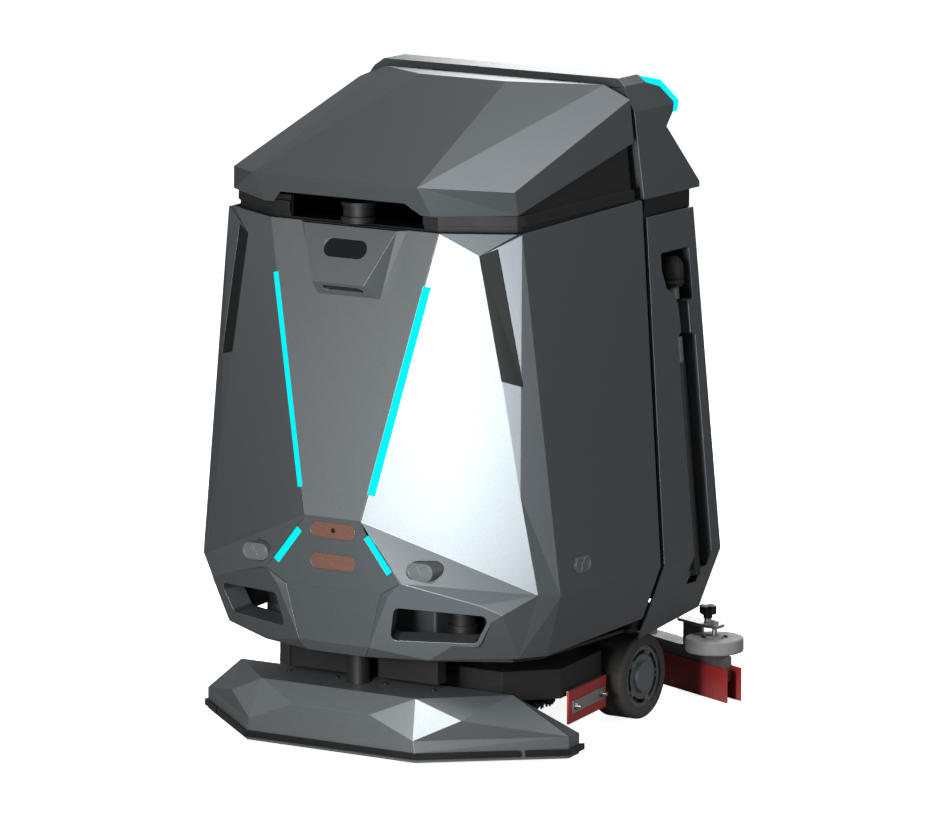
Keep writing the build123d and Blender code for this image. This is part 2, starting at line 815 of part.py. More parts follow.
# the hoop stands further out between the cover's top edge and the hood's lip
with BuildPart() as hoop_band:
    with BuildSketch(Plane.XY.offset(cover_back_top + 1)):
        with BuildLine():
            Polyline(*frame_plan(-4), close=True)
        make_face()
    extrude(amount=hood_lip_z - 1 - cover_back_top - 1)
    for plane in leaning_sides(5):
        split(bisect_by=plane, keep=Keep.BOTTOM)
with BuildPart() as upper_frame:
    with BuildSketch(Plane.XY.offset(shoulder_z - 12)):
        with BuildLine():
            Polyline(*frame_plan(0), close=True)
        make_face()
    extrude(amount=160)
    for plane in leaning_sides(frame_inset):
        split(bisect_by=plane, keep=Keep.BOTTOM)
    add(hoop_band.part)
    add(hoop_void.part, mode=Mode.SUBTRACT)
    # the top follows the hood's rising lower edge, a little inside it
    with BuildSketch(Plane.YZ.offset(-600)):
        with BuildLine():
            Polyline(
                (nose_y, hood_lip_z + 10),
                (nose_y + 144, hood_lip_z + 10),
                (hood_swing_y, hood_lip_z + 10 + side_rise * (hood_swing_y - nose_y - 144)),
                (hood_swing_y, hood_lip_z + 82),
                (hood_back + 20, hood_lip_z + 82),
                (hood_back + 20, 1400),
                (nose_y, 1400),
                close=True,
            )
        make_face()
    extrude(amount=1200, mode=Mode.SUBTRACT)
    # the floor of the sensor slot, with the slot cut down to it in front
    with BuildSketch(Plane.XY.offset(shoulder_z - 12)):
        with Locations((0, (frame_front + slot_y) / 2 + 3)):
            Rectangle(2 * slot_half + 24, slot_y - frame_front + 6)
    extrude(amount=16)
    with BuildSketch(Plane.XY.offset(shoulder_z + 4)):
        with Locations((0, frame_front)):
            Rectangle(2 * slot_half, 2 * (slot_y - 10 - frame_front))
    extrude(amount=200, mode=Mode.SUBTRACT)
    # the open back of the front hoop
    with BuildSketch(Plane.XY.offset(shoulder_z - 20)):
        with Locations((0, hood_back)):
            Rectangle(2 * (side_x(shoulder_z + 130) - frame_inset - frame_wall - 4), 60)
    extrude(amount=300, mode=Mode.SUBTRACT)
    # the rear band between the rear shell and the tail
    band_depth = frame_tail_y - frame_back_y
    band_y = (frame_tail_y + frame_back_y) / 2
    with BuildSketch(Plane.XY.offset(frame_low)):
        with Locations((0, band_y)):
            Rectangle(2 * (side_x(shoulder_z) - frame_inset), band_depth)
        chamfer(vertices().group_by(Axis.Y)[-1], length=frame_chamfer)
        with Locations((0, band_y)):
            Rectangle(
                2 * (side_x(shoulder_z) - frame_inset - frame_wall - 6),
                band_depth - 2 * (frame_wall + 6),
                mode=Mode.SUBTRACT,
            )
    extrude(amount=cover_back_top - frame_low)
    with BuildSketch(Plane.XY.offset(shell_top + 1)):
        with Locations((0, (seam_at(shell_top) + 10 + frame_tail_y + 14) / 2)):
            Rectangle(
                2 * (side_x(cover_back_top) - 4), frame_tail_y + 14 - seam_at(shell_top) - 10
            )
        chamfer(vertices().group_by(Axis.Y)[-1], length=frame_chamfer)
        with Locations((0, band_y)):
            Rectangle(
                2 * (side_x(shoulder_z) - frame_inset - frame_wall - 6),
                band_depth - 2 * (frame_wall + 6),
                mode=Mode.SUBTRACT,
            )
    extrude(amount=cover_back_top - shell_top - 1)
    # strips behind the seam between the two shells, standing on the chassis
    for plane, sign in zip(side_planes, (-1, 1)):
        high_v = (shoulder_z - waist_z) * slope
        with BuildSketch(plane.offset(-cover_wall - 1.5)):
            with BuildLine():
                Polyline(
                    (sign * (seam_y - 16), 0),
                    (sign * (seam_y + 16), 0),
                    (sign * (seam_at(shoulder_z) + 16), high_v),
                    (sign * (seam_at(shoulder_z) - 16), high_v),
                    close=True,
                )
            make_face()
        extrude(amount=-6)
        with BuildSketch(Plane.XZ.offset(-seam_y - 16)):
            with BuildLine():
                Polyline(
                    (sign * (half - 11), waist_z + 6),
                    (sign * (half - 21), waist_z + 6),
                    (sign * (side_x(strip_foot_z) - 24), strip_foot_z),
                    (sign * (side_x(strip_foot_z) - 11), strip_foot_z),
                    close=True,
                )
            make_face()
        extrude(amount=32)
upper_frame.part.label = "upper_frame"
export_step(upper_frame.part, "parts/upper_frame.step")

# the scanner in the slot under the hood
with BuildPart() as top_lidar:
    with BuildSketch(Plane.XY.offset(shoulder_z + 4)):
        with Locations((0, slot_y - 48)):
            Circle(34)
    extrude(amount=12)
    with BuildSketch(Plane.XY.offset(shoulder_z + 16)):
        with Locations((0, slot_y - 48)):
            Circle(30)
    extrude(amount=20)
    with BuildSketch(Plane.XY.offset(shoulder_z + 36)):
        with Locations((0, slot_y - 48)):
            Circle(34)
    extrude(amount=8)
top_lidar.part.label = "top_lidar"
export_step(top_lidar.part, "parts/top_lidar.step")

# ---------------------------------------------------------------- hood
hood_front_y = nose_y + 7
hood_edge_z = shoulder_z + 94
hood_top_z = shoulder_z + 236
hood_corner = (half - 90.5, nose_y + 137.5, shoulder_z + 79)
hood_nose = (185, hood_front_y, hood_edge_z)
hood_crown = (98, nose_y + 450, hood_top_z)
hood_shoulder = (half - 98.5, hood_back, shoulder_z + 204)
hood_lip = (188, nose_y + 51, hood_lip_z)
hood_lip_corner = (half - 85.5, nose_y + 144, hood_lip_z + 1)
hood_side_low = (half - 89.5, hood_back, shoulder_z + 122)
hood_ridge = (hood_crown[0] + 152, hood_back, hood_top_z - 8)


def hood_half(shift=0.0):
    """The right half of the hood as a solid block, moved in by a wall's thickness."""
    p = {
        "n0": (0, hood_front_y, hood_edge_z),
        "n": hood_nose,
        "c0": (0, hood_crown[1], hood_top_z),
        "c": hood_crown,
        "r0": (0, hood_back, hood_ridge[2]),
        "r": hood_ridge,
        "s": hood_shoulder,
        "k": hood_corner,
        "l0": (0, hood_lip[1], hood_lip_z),
        "l": hood_lip,
        "lk": hood_lip_corner,
        "b": hood_side_low,
        "b0": (0, hood_back, hood_side_low[2]),
    }
    p = {n: (x - shift, y + shift, z - shift) for n, (x, y, z) in p.items()}
    return facets(
        p,
        [
            ("n0", "n", "c", "c0"),
            ("c0", "c", "r"),
            ("c0", "r", "r0"),
            ("n", "r", "c"),
            ("n", "k", "r"),
            ("k", "s", "r"),
            ("k", "lk", "b"),
            ("k", "b", "s"),
            ("n0", "l0", "l", "n"),
            ("n", "lk", "k"),
            ("n", "l", "lk"),
            ("r0", "r", "s", "b", "b0"),
            ("l0", "b0", "l"),
            ("l", "b0", "lk"),
            ("lk", "b0", "b"),
            ("n0", "c0", "r0", "b0", "l0"),
        ],
    )


hinge_y = hood_back + 6
hinge_z = hood_ridge[2] - 8
hinge_x = 150.0
hinge_pin_radius = 3.0
knuckle_radius = 6.5
with BuildPart() as hood_void:
    add(hood_half(hood_wall))
    split(bisect_by=Plane.XZ.offset(-hood_back + hood_wall), keep=Keep.TOP)
with BuildPart() as hood:
    add(hood_half())
    add(hood_void.part, mode=Mode.SUBTRACT)
    mirror(about=Plane.YZ)
    # the notch over the sensor slot
    with BuildSketch(Plane.XZ.offset(-nose_y - 90)):
        with BuildLine():
            Polyline(
                (-166.5, hood_lip_z - 20),
                (-166.5, hood_lip_z),
                (-140, hood_lip_z + 23),
                (140, hood_lip_z + 23),
                (166.5, hood_lip_z),
                (166.5, hood_lip_z - 20),
                close=True,
            )
        make_face()
    extrude(amount=120, mode=Mode.SUBTRACT)
    for x in (-hinge_x, hinge_x):
        side = 1 if x > 0 else -1
        with BuildSketch(Plane.YZ.offset(x - side * 30 if side > 0 else x)):
            with Locations((hinge_y, hinge_z)):
                Circle(knuckle_radius)
            with Locations((hinge_y - 6, hinge_z)):
                Rectangle(10, 2 * knuckle_radius)
        extrude(amount=30)
    with BuildSketch(Plane.YZ.offset(-220)):
        with Locations((hinge_y, hinge_z)):
            Circle(hinge_pin_radius + play)
    extrude(amount=440, mode=Mode.SUBTRACT)
hood.part.label = "hood"
export_step(hood.part, "parts/hood.step")

# ---------------------------------------------------------------- tail
tail_front_y = hood_back + 10
tail_low = cover_back_top
tail_top = hood_top_z + 3
notch_y = tail_y - 84
tail_profile = [
    (tail_front_y + 8, tail_low),
    (tail_front_y, tail_top - 30),
    (tail_front_y + 12, tail_top),
    (tail_front_y + 84, tail_top),
    (tail_front_y + 84, tail_top - 14),
    (tail_front_y + 124, tail_top - 26),
    (tail_front_y + 147, tail_top - 56),
    (tail_front_y + 139, tail_top - 75),
    (notch_y, tail_top - 100),
    (tail_y + 17, tail_low + 11),
    (tail_y + 15, tail_low),
]
light_profile = [
    (tail_front_y + 84, tail_top - 2),
    (tail_front_y + 137, tail_top - 15),
    (tail_front_y + 167, tail_top - 55),
    (tail_front_y + 154, tail_top - 77),
    (tail_front_y + 139, tail_top - 75),
    (tail_front_y + 147, tail_top - 56),
    (tail_front_y + 124, tail_top - 26),
    (tail_front_y + 84, tail_top - 14),
]
tail_edge_z = tail_top - 14
tail_edge_x = half - 121
tail_bevel = (14.0, 18.6)  # fall and run of the upper bevel
tail_side_bevel = (37.0, 20.4)  # fall and run of the lower one
tail_wall = 6.0


def side_cutters(inset):
    """The planes that bound the tail's sides and the two bevels along each top edge."""
    planes = []
    for s in (-1, 1):
        side = Plane(
            origin=(s * (half - inset), 0, waist_z), x_dir=(0, 1, 0), z_dir=(s, 0, side_lean)
        )
        planes.append(side)
        for fall, run in (tail_bevel, tail_side_bevel):
            planes.append(
                Plane(
                    origin=(s * (tail_edge_x - inset), 0, tail_edge_z),
                    x_dir=(0, 1, 0),
                    z_dir=(s * fall, 0, run),
                )
            )
    return planes


console_plane = face_plane(
    (0, notch_y, tail_top - 100), (40, notch_y, tail_top - 100), (0, tail_y + 17, tail_low + 11), (0, 1, 1)
)
console_length = (
    Vector(0, tail_y + 17, tail_low + 11) - Vector(0, notch_y, tail_top - 100)
).length
console_up = 1 if console_plane.y_dir.Z > 0 else -1
screen_at = (0, -console_up * console_length / 2)
screen_size = (250.0, 118.0)
console_x_sign = 1 if console_plane.x_dir.X > 0 else -1
estop_at = (console_x_sign * 205, -console_up * console_length * 0.42)
power_at = (console_x_sign * -195, -console_up * console_length * 0.42)
estop_radius = 20.0
with BuildPart() as tail_cap:
    with BuildSketch(Plane.YZ.offset(-400)):
        with BuildLine():
            Polyline(*tail_profile, close=True)
        make_face()
    extrude(amount=800)
    for plane in side_cutters(0):
        split(bisect_by=plane, keep=Keep.BOTTOM)
    with BuildPart(mode=Mode.SUBTRACT):
        with BuildSketch(Plane.YZ.offset(-400)):
            with BuildLine():
                Polyline(*tail_profile, close=True)
            make_face()
            offset(amount=-tail_wall, kind=Kind.INTERSECTION)
        extrude(amount=800)
        with BuildSketch(Plane.YZ.offset(-400)):
            with Locations(((tail_front_y + tail_y) / 2 + 6, tail_low)):
                Rectangle(tail_y - tail_front_y - 20, 30)
        extrude(amount=800)
        for plane in side_cutters(tail_wall):
            split(bisect_by=plane, keep=Keep.BOTTOM)
    # seats for the screen, the stop switch and the power key
    with BuildSketch(console_plane):
        with Locations(screen_at):
            RectangleRounded(screen_size[0] + gap, screen_size[1] + gap, 6)
    extrude(amount=-4, mode=Mode.SUBTRACT)
    with BuildSketch(console_plane.offset(5)):
        with Locations(estop_at):
            Circle(11)
        with Locations(power_at):
            Circle(9 + travel_gap)
    extrude(amount=-20, mode=Mode.SUBTRACT)
    # clearance for the hinge knuckles
    for x in (-hinge_x, hinge_x):
        with BuildSketch(Plane.YZ.offset(x - 36)):
            with Locations((hinge_y, hinge_z + 6)):
                Rectangle(2 * knuckle_radius + 10, 2 * knuckle_radius + 18)
        extrude(amount=72, mode=Mode.SUBTRACT)
        outer = x + 2 if x > 0 else x - 30
        with BuildSketch(Plane.YZ.offset(outer)):
            with Locations((hinge_y, hinge_z)):
                Circle(knuckle_radius - 0.5)
            with Locations((hinge_y + 8, hinge_z)):
                Rectangle(16, 2 * knuckle_radius - 1)
        extrude(amount=28)
    with BuildSketch(Plane.YZ.offset(-220)):
        with Locations((hinge_y, hinge_z)):
            Circle(hinge_pin_radius)
    extrude(amount=440, mode=Mode.SUBTRACT)
tail_cap.part.label = "tail_cap"
export_step(tail_cap.part, "parts/tail_cap.step")

with BuildPart() as tail_light:
    with BuildSketch(Plane.YZ.offset(-400)):
        with BuildLine():
            Polyline(*light_profile, close=True)
        make_face()
    extrude(amount=800)
    for plane in side_cutters(0.5):
        split(bisect_by=plane, keep=Keep.BOTTOM)
tail_light.part.label = "tail_light"
export_step(tail_light.part, "parts/tail_light.step")

with BuildPart() as hinge_pins:
    for x in (-hinge_x, hinge_x):
        with BuildSketch(Plane.YZ.offset(x - 30)):
            with Locations((hinge_y, hinge_z)):
                Circle(hinge_pin_radius)
        extrude(amount=60)
hinge_pins.part.label = "hinge_pins"
export_step(hinge_pins.part, "parts/hinge_pins.step")

with BuildPart() as display_screen:
    with BuildSketch(console_plane.offset(-4)):
        with Locations(screen_at):
            RectangleRounded(*screen_size, 6)
    extrude(amount=4.5)
display_screen.part.label = "display_screen"
export_step(display_screen.part, "parts/display_screen.step")

with BuildPart() as estop_collar:
    with BuildSketch(console_plane):
        with Locations(estop_at):
            Circle(27)
            Circle(9 + travel_gap, mode=Mode.SUBTRACT)
    extrude(amount=4)
    with BuildSketch(console_plane):
        with Locations(estop_at):
            Circle(10.8)
            Circle(9 + travel_gap, mode=Mode.SUBTRACT)
    extrude(amount=-16)
estop_collar.part.label = "estop_collar"
export_step(estop_collar.part, "parts/estop_collar.step")

with BuildPart() as estop_button:
    with BuildSketch(console_plane.offset(10)):
        with Locations(estop_at):
            Circle(estop_radius)
    extrude(amount=9, taper=12)
    with BuildSketch(console_plane.offset(-14)):
        with Locations(estop_at):
            Circle(9)
    extrude(amount=24)
estop_button.part.label = "estop_button"
export_step(estop_button.part, "parts/estop_button.step")

with BuildPart() as power_button:
    with BuildSketch(console_plane.offset(-13)):
        with Locations(power_at):
            Circle(9)
    extrude(amount=15)
power_button.part.label = "power_button"
export_step(power_button.part, "parts/power_button.step")

# ---------------------------------------------------------------- chassis
plate_top = chassis_z + chassis_plate
plate_plan = [
    (58, nose_y + 42),
    (165, nose_y + 72),
    (half - 100, nose_y + 150),
    (half - 72, nose_y + 205),
    (half - 72, tail_y - 42),
    (half - 110, tail_y - 14),
]
bracket_x = wheel_inner_x - 14
bracket_wall = 12.0
axle_radius = 12.0
post_y = nose_y + 87
post_radius = 22.0
deck_rod_radius = 9.0
lift_rod_radius = 8.0
lift_rod_x = 60.0
lift_rod_y = tail_y - 54
caster_stem_radius = 9.0
caster_top_z = 112.0
cross_y = nose_y + 121
with BuildPart() as chassis_frame:
    with BuildSketch(Plane.XY.offset(chassis_z)):
        with BuildLine():
            Polyline(*plate_plan, *[(-x, y) for x, y in reversed(plate_plan)], close=True)
        make_face()
        with Locations((0, post_y + bumper_travel / 2)):
            Rectangle(2 * 8 + 2, bumper_travel + 2 * 8 + 2, mode=Mode.SUBTRACT)
        with Locations((0, brush_y)):
            Circle(deck_rod_radius + 2, mode=Mode.SUBTRACT)
        with Locations((-lift_rod_x, lift_rod_y), (lift_rod_x, lift_rod_y)):
            Circle(lift_rod_radius + 2, mode=Mode.SUBTRACT)
        # ears under the feet of the frame's side strips
        with Locations((0, seam_y)):
            Rectangle(2 * (side_x(strip_foot_z) - 11), 44)
    extrude(amount=chassis_plate)
    # front cross member, in two blocks beside the bumper's post
    with BuildSketch(Plane.XY.offset(chassis_z - 52)):
        for x in (-99, 99):
            with Locations((x, cross_y)):
                Rectangle(134, 28)
    extrude(amount=52)
    # caster mast
    with BuildSketch(Plane.XY.offset(caster_top_z)):
        with Locations((0, caster_y)):
            Circle(17)
    extrude(amount=chassis_z - caster_top_z)
    with BuildSketch(Plane.XY.offset(caster_top_z)):
        with Locations((0, caster_y)):
            Circle(caster_stem_radius + play)
    extrude(amount=36, mode=Mode.SUBTRACT)
    # wheel brackets with the axle bores, and a guard over each wheel
    for side in (-1, 1):
        with BuildSketch(Plane.YZ.offset(side * (bracket_x - bracket_wall / 2) - bracket_wall / 2)):
            with BuildLine():
                Polyline(
                    (wheel_y - 95, chassis_z),
                    (wheel_y + 95, chassis_z),
                    (wheel_y + 95, 165),
                    (wheel_y + 30, 52),
                    (wheel_y - 30, 52),
                    (wheel_y - 80, 165),
                    close=True,
                )
            make_face()
            with Locations((wheel_y, wheel_radius)):
                Circle(axle_radius + play, mode=Mode.SUBTRACT)
        extrude(amount=bracket_wall)
        with BuildSketch(Plane.XY.offset(chassis_z - 10)):
            with Locations((side * (bracket_x + 44), wheel_y)):
                Rectangle(92, 100)
        extrude(amount=10)
chassis_frame.part.label = "chassis_frame"
export_step(chassis_frame.part, "parts/chassis_frame.step")

# ---------------------------------------------------------------- wheels
hub_radius = 61.0
for side, word in ((-1, "left"), (1, "right")):
    outward = Plane(
        origin=(side * wheel_inner_x, wheel_y, wheel_radius), x_dir=(0, 1, 0), z_dir=(side, 0, 0)
    )
    with BuildPart() as tyre:
        with BuildSketch(outward):
            Circle(wheel_radius)
        extrude(amount=wheel_width)
        fillet(edges().filter_by(GeomType.CIRCLE), radius=9)
        with BuildSketch(outward):
            Circle(hub_radius)
        extrude(amount=wheel_width, mode=Mode.SUBTRACT)
    tyre.part.label = f"tyre_{word}"
    export_step(tyre.part, f"parts/tyre_{word}.step")

    with BuildPart() as wheel_hub:
        with BuildSketch(outward):
            Circle(hub_radius)
        extrude(amount=wheel_width - 4)
        with BuildSketch(outward.offset(wheel_width - 4)):
            Circle(hub_radius - 9)
            Circle(hub_radius - 17, mode=Mode.SUBTRACT)
        extrude(amount=-14, mode=Mode.SUBTRACT)
        with BuildSketch(outward.offset(wheel_width - 4)):
            Circle(30)
        extrude(amount=7)
        # five lugs bridge the groove, each with a bolt head
        with BuildSketch(outward.offset(wheel_width - 18)):
            with PolarLocations(hub_radius - 13, 5):
                Rectangle(12, 15)
        extrude(amount=15)
        with BuildSketch(outward.offset(wheel_width - 3)):
            with PolarLocations(hub_radius - 13, 5):
                RegularPolygon(4.5, 6)
        extrude(amount=4)
        with BuildSketch(outward):
            Circle(axle_radius)
        extrude(amount=-(wheel_inner_x - bracket_x + bracket_wall + 8))
        with BuildSketch(outward.offset(-(wheel_inner_x - bracket_x + bracket_wall + 8))):
            Circle(axle_radius + 5)
        extrude(amount=-5)
    wheel_hub.part.label = f"wheel_hub_{word}"
    export_step(wheel_hub.part, f"parts/wheel_hub_{word}.step")

# front caster
caster_axle_y = caster_y + caster_trail
with BuildPart() as caster_fork:
    with BuildSketch(Plane.XY.offset(caster_top_z - 12)):
        with Locations((0, caster_y + 6)):
            RectangleRounded(48, 52, 8)
    extrude(amount=11)
    with BuildSketch(Plane.XY.offset(caster_top_z - 2)):
        with Locations((0, caster_y)):
            Circle(caster_stem_radius)
    extrude(amount=36)
    for side in (-1, 1):
        with BuildSketch(Plane.YZ.offset(side * 21.5 - 2.5)):
            with BuildLine():
                Polyline(
                    (caster_y - 16, caster_top_z - 1),
                    (caster_y + 30, caster_top_z - 1),
                    (caster_axle_y + 12, caster_radius),
                    (caster_axle_y, caster_radius - 12),
                    (caster_axle_y - 12, caster_radius),
                    close=True,
                )
            make_face()
        extrude(amount=5)
    with BuildSketch(Plane.YZ.offset(-26)):
        with Locations((caster_axle_y, caster_radius)):
            Circle(5)
    extrude(amount=52)
caster_fork.part.label = "caster_fork"
export_step(caster_fork.part, "parts/caster_fork.step")

with BuildPart() as caster_wheel:
    with BuildSketch(Plane.YZ.offset(-caster_width / 2)):
        with Locations((caster_axle_y, caster_radius)):
            Circle(caster_radius)
    extrude(amount=caster_width)
    fillet(edges().filter_by(GeomType.CIRCLE), radius=6)
    with BuildSketch(Plane.YZ.offset(-caster_width / 2)):
        with Locations((caster_axle_y, caster_radius)):
            Circle(5 + play)
    extrude(amount=caster_width, mode=Mode.SUBTRACT)
caster_wheel.part.label = "caster_wheel"
export_step(caster_wheel.part, "parts/caster_wheel.step")

# ---------------------------------------------------------------- scrub deck, stored raised
deck_top = deck_lift + brush_height + 12 + deck_height
deck_low = deck_top - deck_height
deck_wall = 6.0
skirt_front = (331.0, -172.0)
skirt_back = (303.0, 7.0)
skirt_thickness = 4.0
holder_thickness = 6.0
skirt_run = Vector(skirt_back[0] - skirt_front[0], skirt_back[1] - skirt_front[1]).normalized()
skirt_side = Vector(-skirt_run.Y, skirt_run.X)
if skirt_side.X < 0:
    skirt_side = skirt_side * -1
holder_in = skirt_thickness + holder_thickness
deck_corner = (skirt_front[0] - skirt_side.X * holder_in, skirt_front[1] - skirt_side.Y * holder_in)
deck_back = (skirt_back[0] - skirt_side.X * holder_in, skirt_back[1] - skirt_side.Y * holder_in)
deck_plan = [
    (74, deck_front_y + 50),
    (112, deck_front_y),
    (243, deck_front_y),
    (deck_corner[0], deck_corner[1] - 12),
    deck_back,
]
with BuildPart() as deck_housing:
    with BuildSketch(Plane.XY.offset(deck_low)):
        with BuildLine():
            Polyline(*deck_plan, *[(-x, y) for x, y in reversed(deck_plan)], close=True)
        make_face()
    extrude(amount=deck_height)
    with BuildSketch(Plane.XY.offset(deck_low)):
        with BuildLine():
            Polyline(*deck_plan, *[(-x, y) for x, y in reversed(deck_plan)], close=True)
        make_face()
        offset(amount=-deck_wall, kind=Kind.INTERSECTION)
    extrude(amount=deck_height - deck_wall, mode=Mode.SUBTRACT)
    with BuildSketch(Plane.XY.offset(deck_top - deck_wall)):
        with Locations((-brush_x, brush_y), (brush_x, brush_y)):
            Circle(10 + play)
    extrude(amount=deck_wall, mode=Mode.SUBTRACT)
    # water manifold along the top
    with BuildSketch(Plane.XY.offset(deck_top)):
        with Locations((0, deck_rear_y - 22)):
            RectangleRounded(420, 22, 6)
    extrude(amount=16)
deck_housing.part.label = "deck_housing"
export_step(deck_housing.part, "parts/deck_housing.step")

with BuildPart() as deck_rod:
    with BuildSketch(Plane.XY.offset(deck_top)):
        with Locations((0, brush_y)):
            Circle(deck_rod_radius)
    extrude(amount=150)
    with BuildSketch(Plane.XY.offset(deck_top)):
        with Locations((0, brush_y)):
            Rectangle(54, 40)
    extrude(amount=14)
deck_rod.part.label = "deck_rod"
export_step(deck_rod.part, "parts/deck_rod.step")

motor_radius = 46.0
motor_height = chassis_z - deck_top - 6
with BuildPart() as brush_motors:
    for x in (-brush_x, brush_x):
        with BuildSketch(Plane.XY.offset(deck_top)):
            with Locations((x, brush_y)):
                Circle(motor_radius)
        extrude(amount=motor_height)
        with BuildSketch(Plane.XY.offset(deck_top)):
            with Locations((x, brush_y)):
                Circle(8 + play)
        extrude(amount=motor_height - 8, mode=Mode.SUBTRACT)
brush_motors.part.label = "brush_motors"
export_step(brush_motors.part, "parts/brush_motors.step")

skirt_low = deck_lift + 2
with BuildPart() as deck_skirts:
    for s in (-1, 1):
        with BuildSketch(Plane.XY.offset(skirt_low)):
            with BuildLine():
                Polyline(
                    (s * skirt_front[0], skirt_front[1]),
                    (s * skirt_back[0], skirt_back[1]),
                    (
                        s * (skirt_back[0] - skirt_side.X * skirt_thickness),
                        skirt_back[1] - skirt_side.Y * skirt_thickness,
                    ),
                    (
                        s * (skirt_front[0] - skirt_side.X * skirt_thickness),
                        skirt_front[1] - skirt_side.Y * skirt_thickness,
                    ),
                    close=True,
                )
            make_face()
        extrude(amount=skirt_height)
deck_skirts.part.label = "deck_skirts"
export_step(deck_skirts.part, "parts/deck_skirts.step")

# clamp plates on the skirts, and the holders between skirts and deck
clamp_height = 24.0
skirt_middle = Vector((skirt_front[0] + skirt_back[0]) / 2, (skirt_front[1] + skirt_back[1]) / 2)
with BuildPart() as skirt_clamps:
    for s in (-1, 1):
        face = Plane(
            origin=(s * skirt_middle.X, skirt_middle.Y, skirt_low + skirt_height / 2),
            x_dir=(s * skirt_run.X, skirt_run.Y, 0),
            z_dir=(s * skirt_side.X, skirt_side.Y, 0),
        )
        with BuildSketch(face):
            Rectangle(150, clamp_height)
        extrude(amount=3)
        with BuildSketch(face.offset(3)):
            with Locations((-62, 0), (62, 0)):
                RegularPolygon(7, 6)
        extrude(amount=5)
        with BuildSketch(face.offset(8)):
            with Locations((-62, 0), (62, 0)):
                Circle(4)
        extrude(amount=6)
        holder = face.offset(-skirt_thickness)
        low = skirt_low + skirt_height - deck_low
        with BuildSketch(holder):
            with Locations((0, skirt_height / 2 - low / 2)):
                Rectangle(160, low)
        extrude(amount=-holder_thickness)
skirt_clamps.part.label = "skirt_clamps"
export_step(skirt_clamps.part, "parts/skirt_clamps.step")

for side, word in ((-1, "left"), (1, "right")):
    with BuildPart() as disc_brush:
        with BuildSketch(Plane.XY.offset(deck_lift)):
            with Locations((side * brush_x, brush_y)):
                Circle(brush_radius)
                Circle(52, mode=Mode.SUBTRACT)
        extrude(amount=brush_height - 10)
        with BuildSketch(Plane.XY.offset(deck_lift + brush_height - 10)):
            with Locations((side * brush_x, brush_y)):
                Circle(brush_radius - 2)
        extrude(amount=10)
        with BuildSketch(Plane.XY.offset(deck_lift + brush_height)):
            with Locations((side * brush_x, brush_y)):
                Circle(30)
        extrude(amount=24)
        with BuildSketch(Plane.XY.offset(deck_lift + brush_height)):
            with Locations((side * brush_x, brush_y)):
                Circle(8)
        extrude(amount=deck_top + motor_height - 14 - deck_lift - brush_height)
    disc_brush.part.label = f"disc_brush_{word}"
    export_step(disc_brush.part, f"parts/disc_brush_{word}.step")

# ---------------------------------------------------------------- squeegee
blade_end_y = squeegee_y - 136
blade_bend_x = 166.0
blade_bend_y = squeegee_y - 33
blade_slope = (blade_bend_y - blade_end_y) / (blade_reach - blade_bend_x)


def squeegee_face(front, back, reach):
    """The strip of floor between two copies of the blade's line, moved forward."""
    with BuildSketch(mode=Mode.PRIVATE) as strip:
        with BuildLine():
            for shift in (front, back):
                end_y = blade_bend_y - blade_slope * (reach - blade_bend_x) - shift
                Line((-reach, end_y), (-blade_bend_x, blade_bend_y - shift))
                ThreePointArc(
                    (-blade_bend_x, blade_bend_y - shift),
                    (0, squeegee_y - shift),
                    (blade_bend_x, blade_bend_y - shift),
                )
                Line((blade_bend_x, blade_bend_y - shift), (reach, end_y))
            for side in (-reach, reach):
                end_y = blade_bend_y - blade_slope * (reach - blade_bend_x)
                Line((side, end_y - front), (side, end_y - back))
        make_face()
    return strip.sketch


body_reach = 372.0
body_depth = 34.0
with BuildPart() as squeegee_blades:
    add(squeegee_face(0, blade_thickness, blade_reach))
    add(squeegee_face(body_depth + blade_thickness, body_depth + 2 * blade_thickness, blade_reach - 12))
    extrude(amount=blade_height)
squeegee_blades.part.label = "squeegee_blades"
export_step(squeegee_blades.part, "parts/squeegee_blades.step")

squeegee_low = 34.0
squeegee_top = 92.0
with BuildPart() as squeegee_body:
    with BuildSketch(Plane.XY.offset(squeegee_low)):
        add(squeegee_face(blade_thickness, body_depth + blade_thickness, body_reach))
    extrude(amount=squeegee_top - squeegee_low - 8)
    with BuildSketch(Plane.XY.offset(squeegee_top - 8)):
        add(squeegee_face(-3, body_depth + 12, body_reach - 6))
    extrude(amount=8)
    with BuildSketch(Plane.XY.offset(squeegee_low)):
        add(squeegee_face(blade_thickness + 7, body_depth + blade_thickness - 7, body_reach - 20))
    extrude(amount=30, mode=Mode.SUBTRACT)
    # suction port in the middle
    with BuildSketch(Plane.XY.offset(squeegee_top)):
        with Locations((0, squeegee_y - 22)):
            Circle(24)
    extrude(amount=38)
    with BuildSketch(Plane.XY.offset(squeegee_low + 20)):
        with Locations((0, squeegee_y - 22)):
            Circle(9)
    extrude(amount=100, mode=Mode.SUBTRACT)
    with BuildSketch(Plane.XY.offset(squeegee_top)):
        with Locations((0, squeegee_y - 22)):
            Circle(19)
    extrude(amount=38, mode=Mode.SUBTRACT)
squeegee_body.part.label = "squeegee_body"
export_step(squeegee_body.part, "parts/squeegee_body.step")

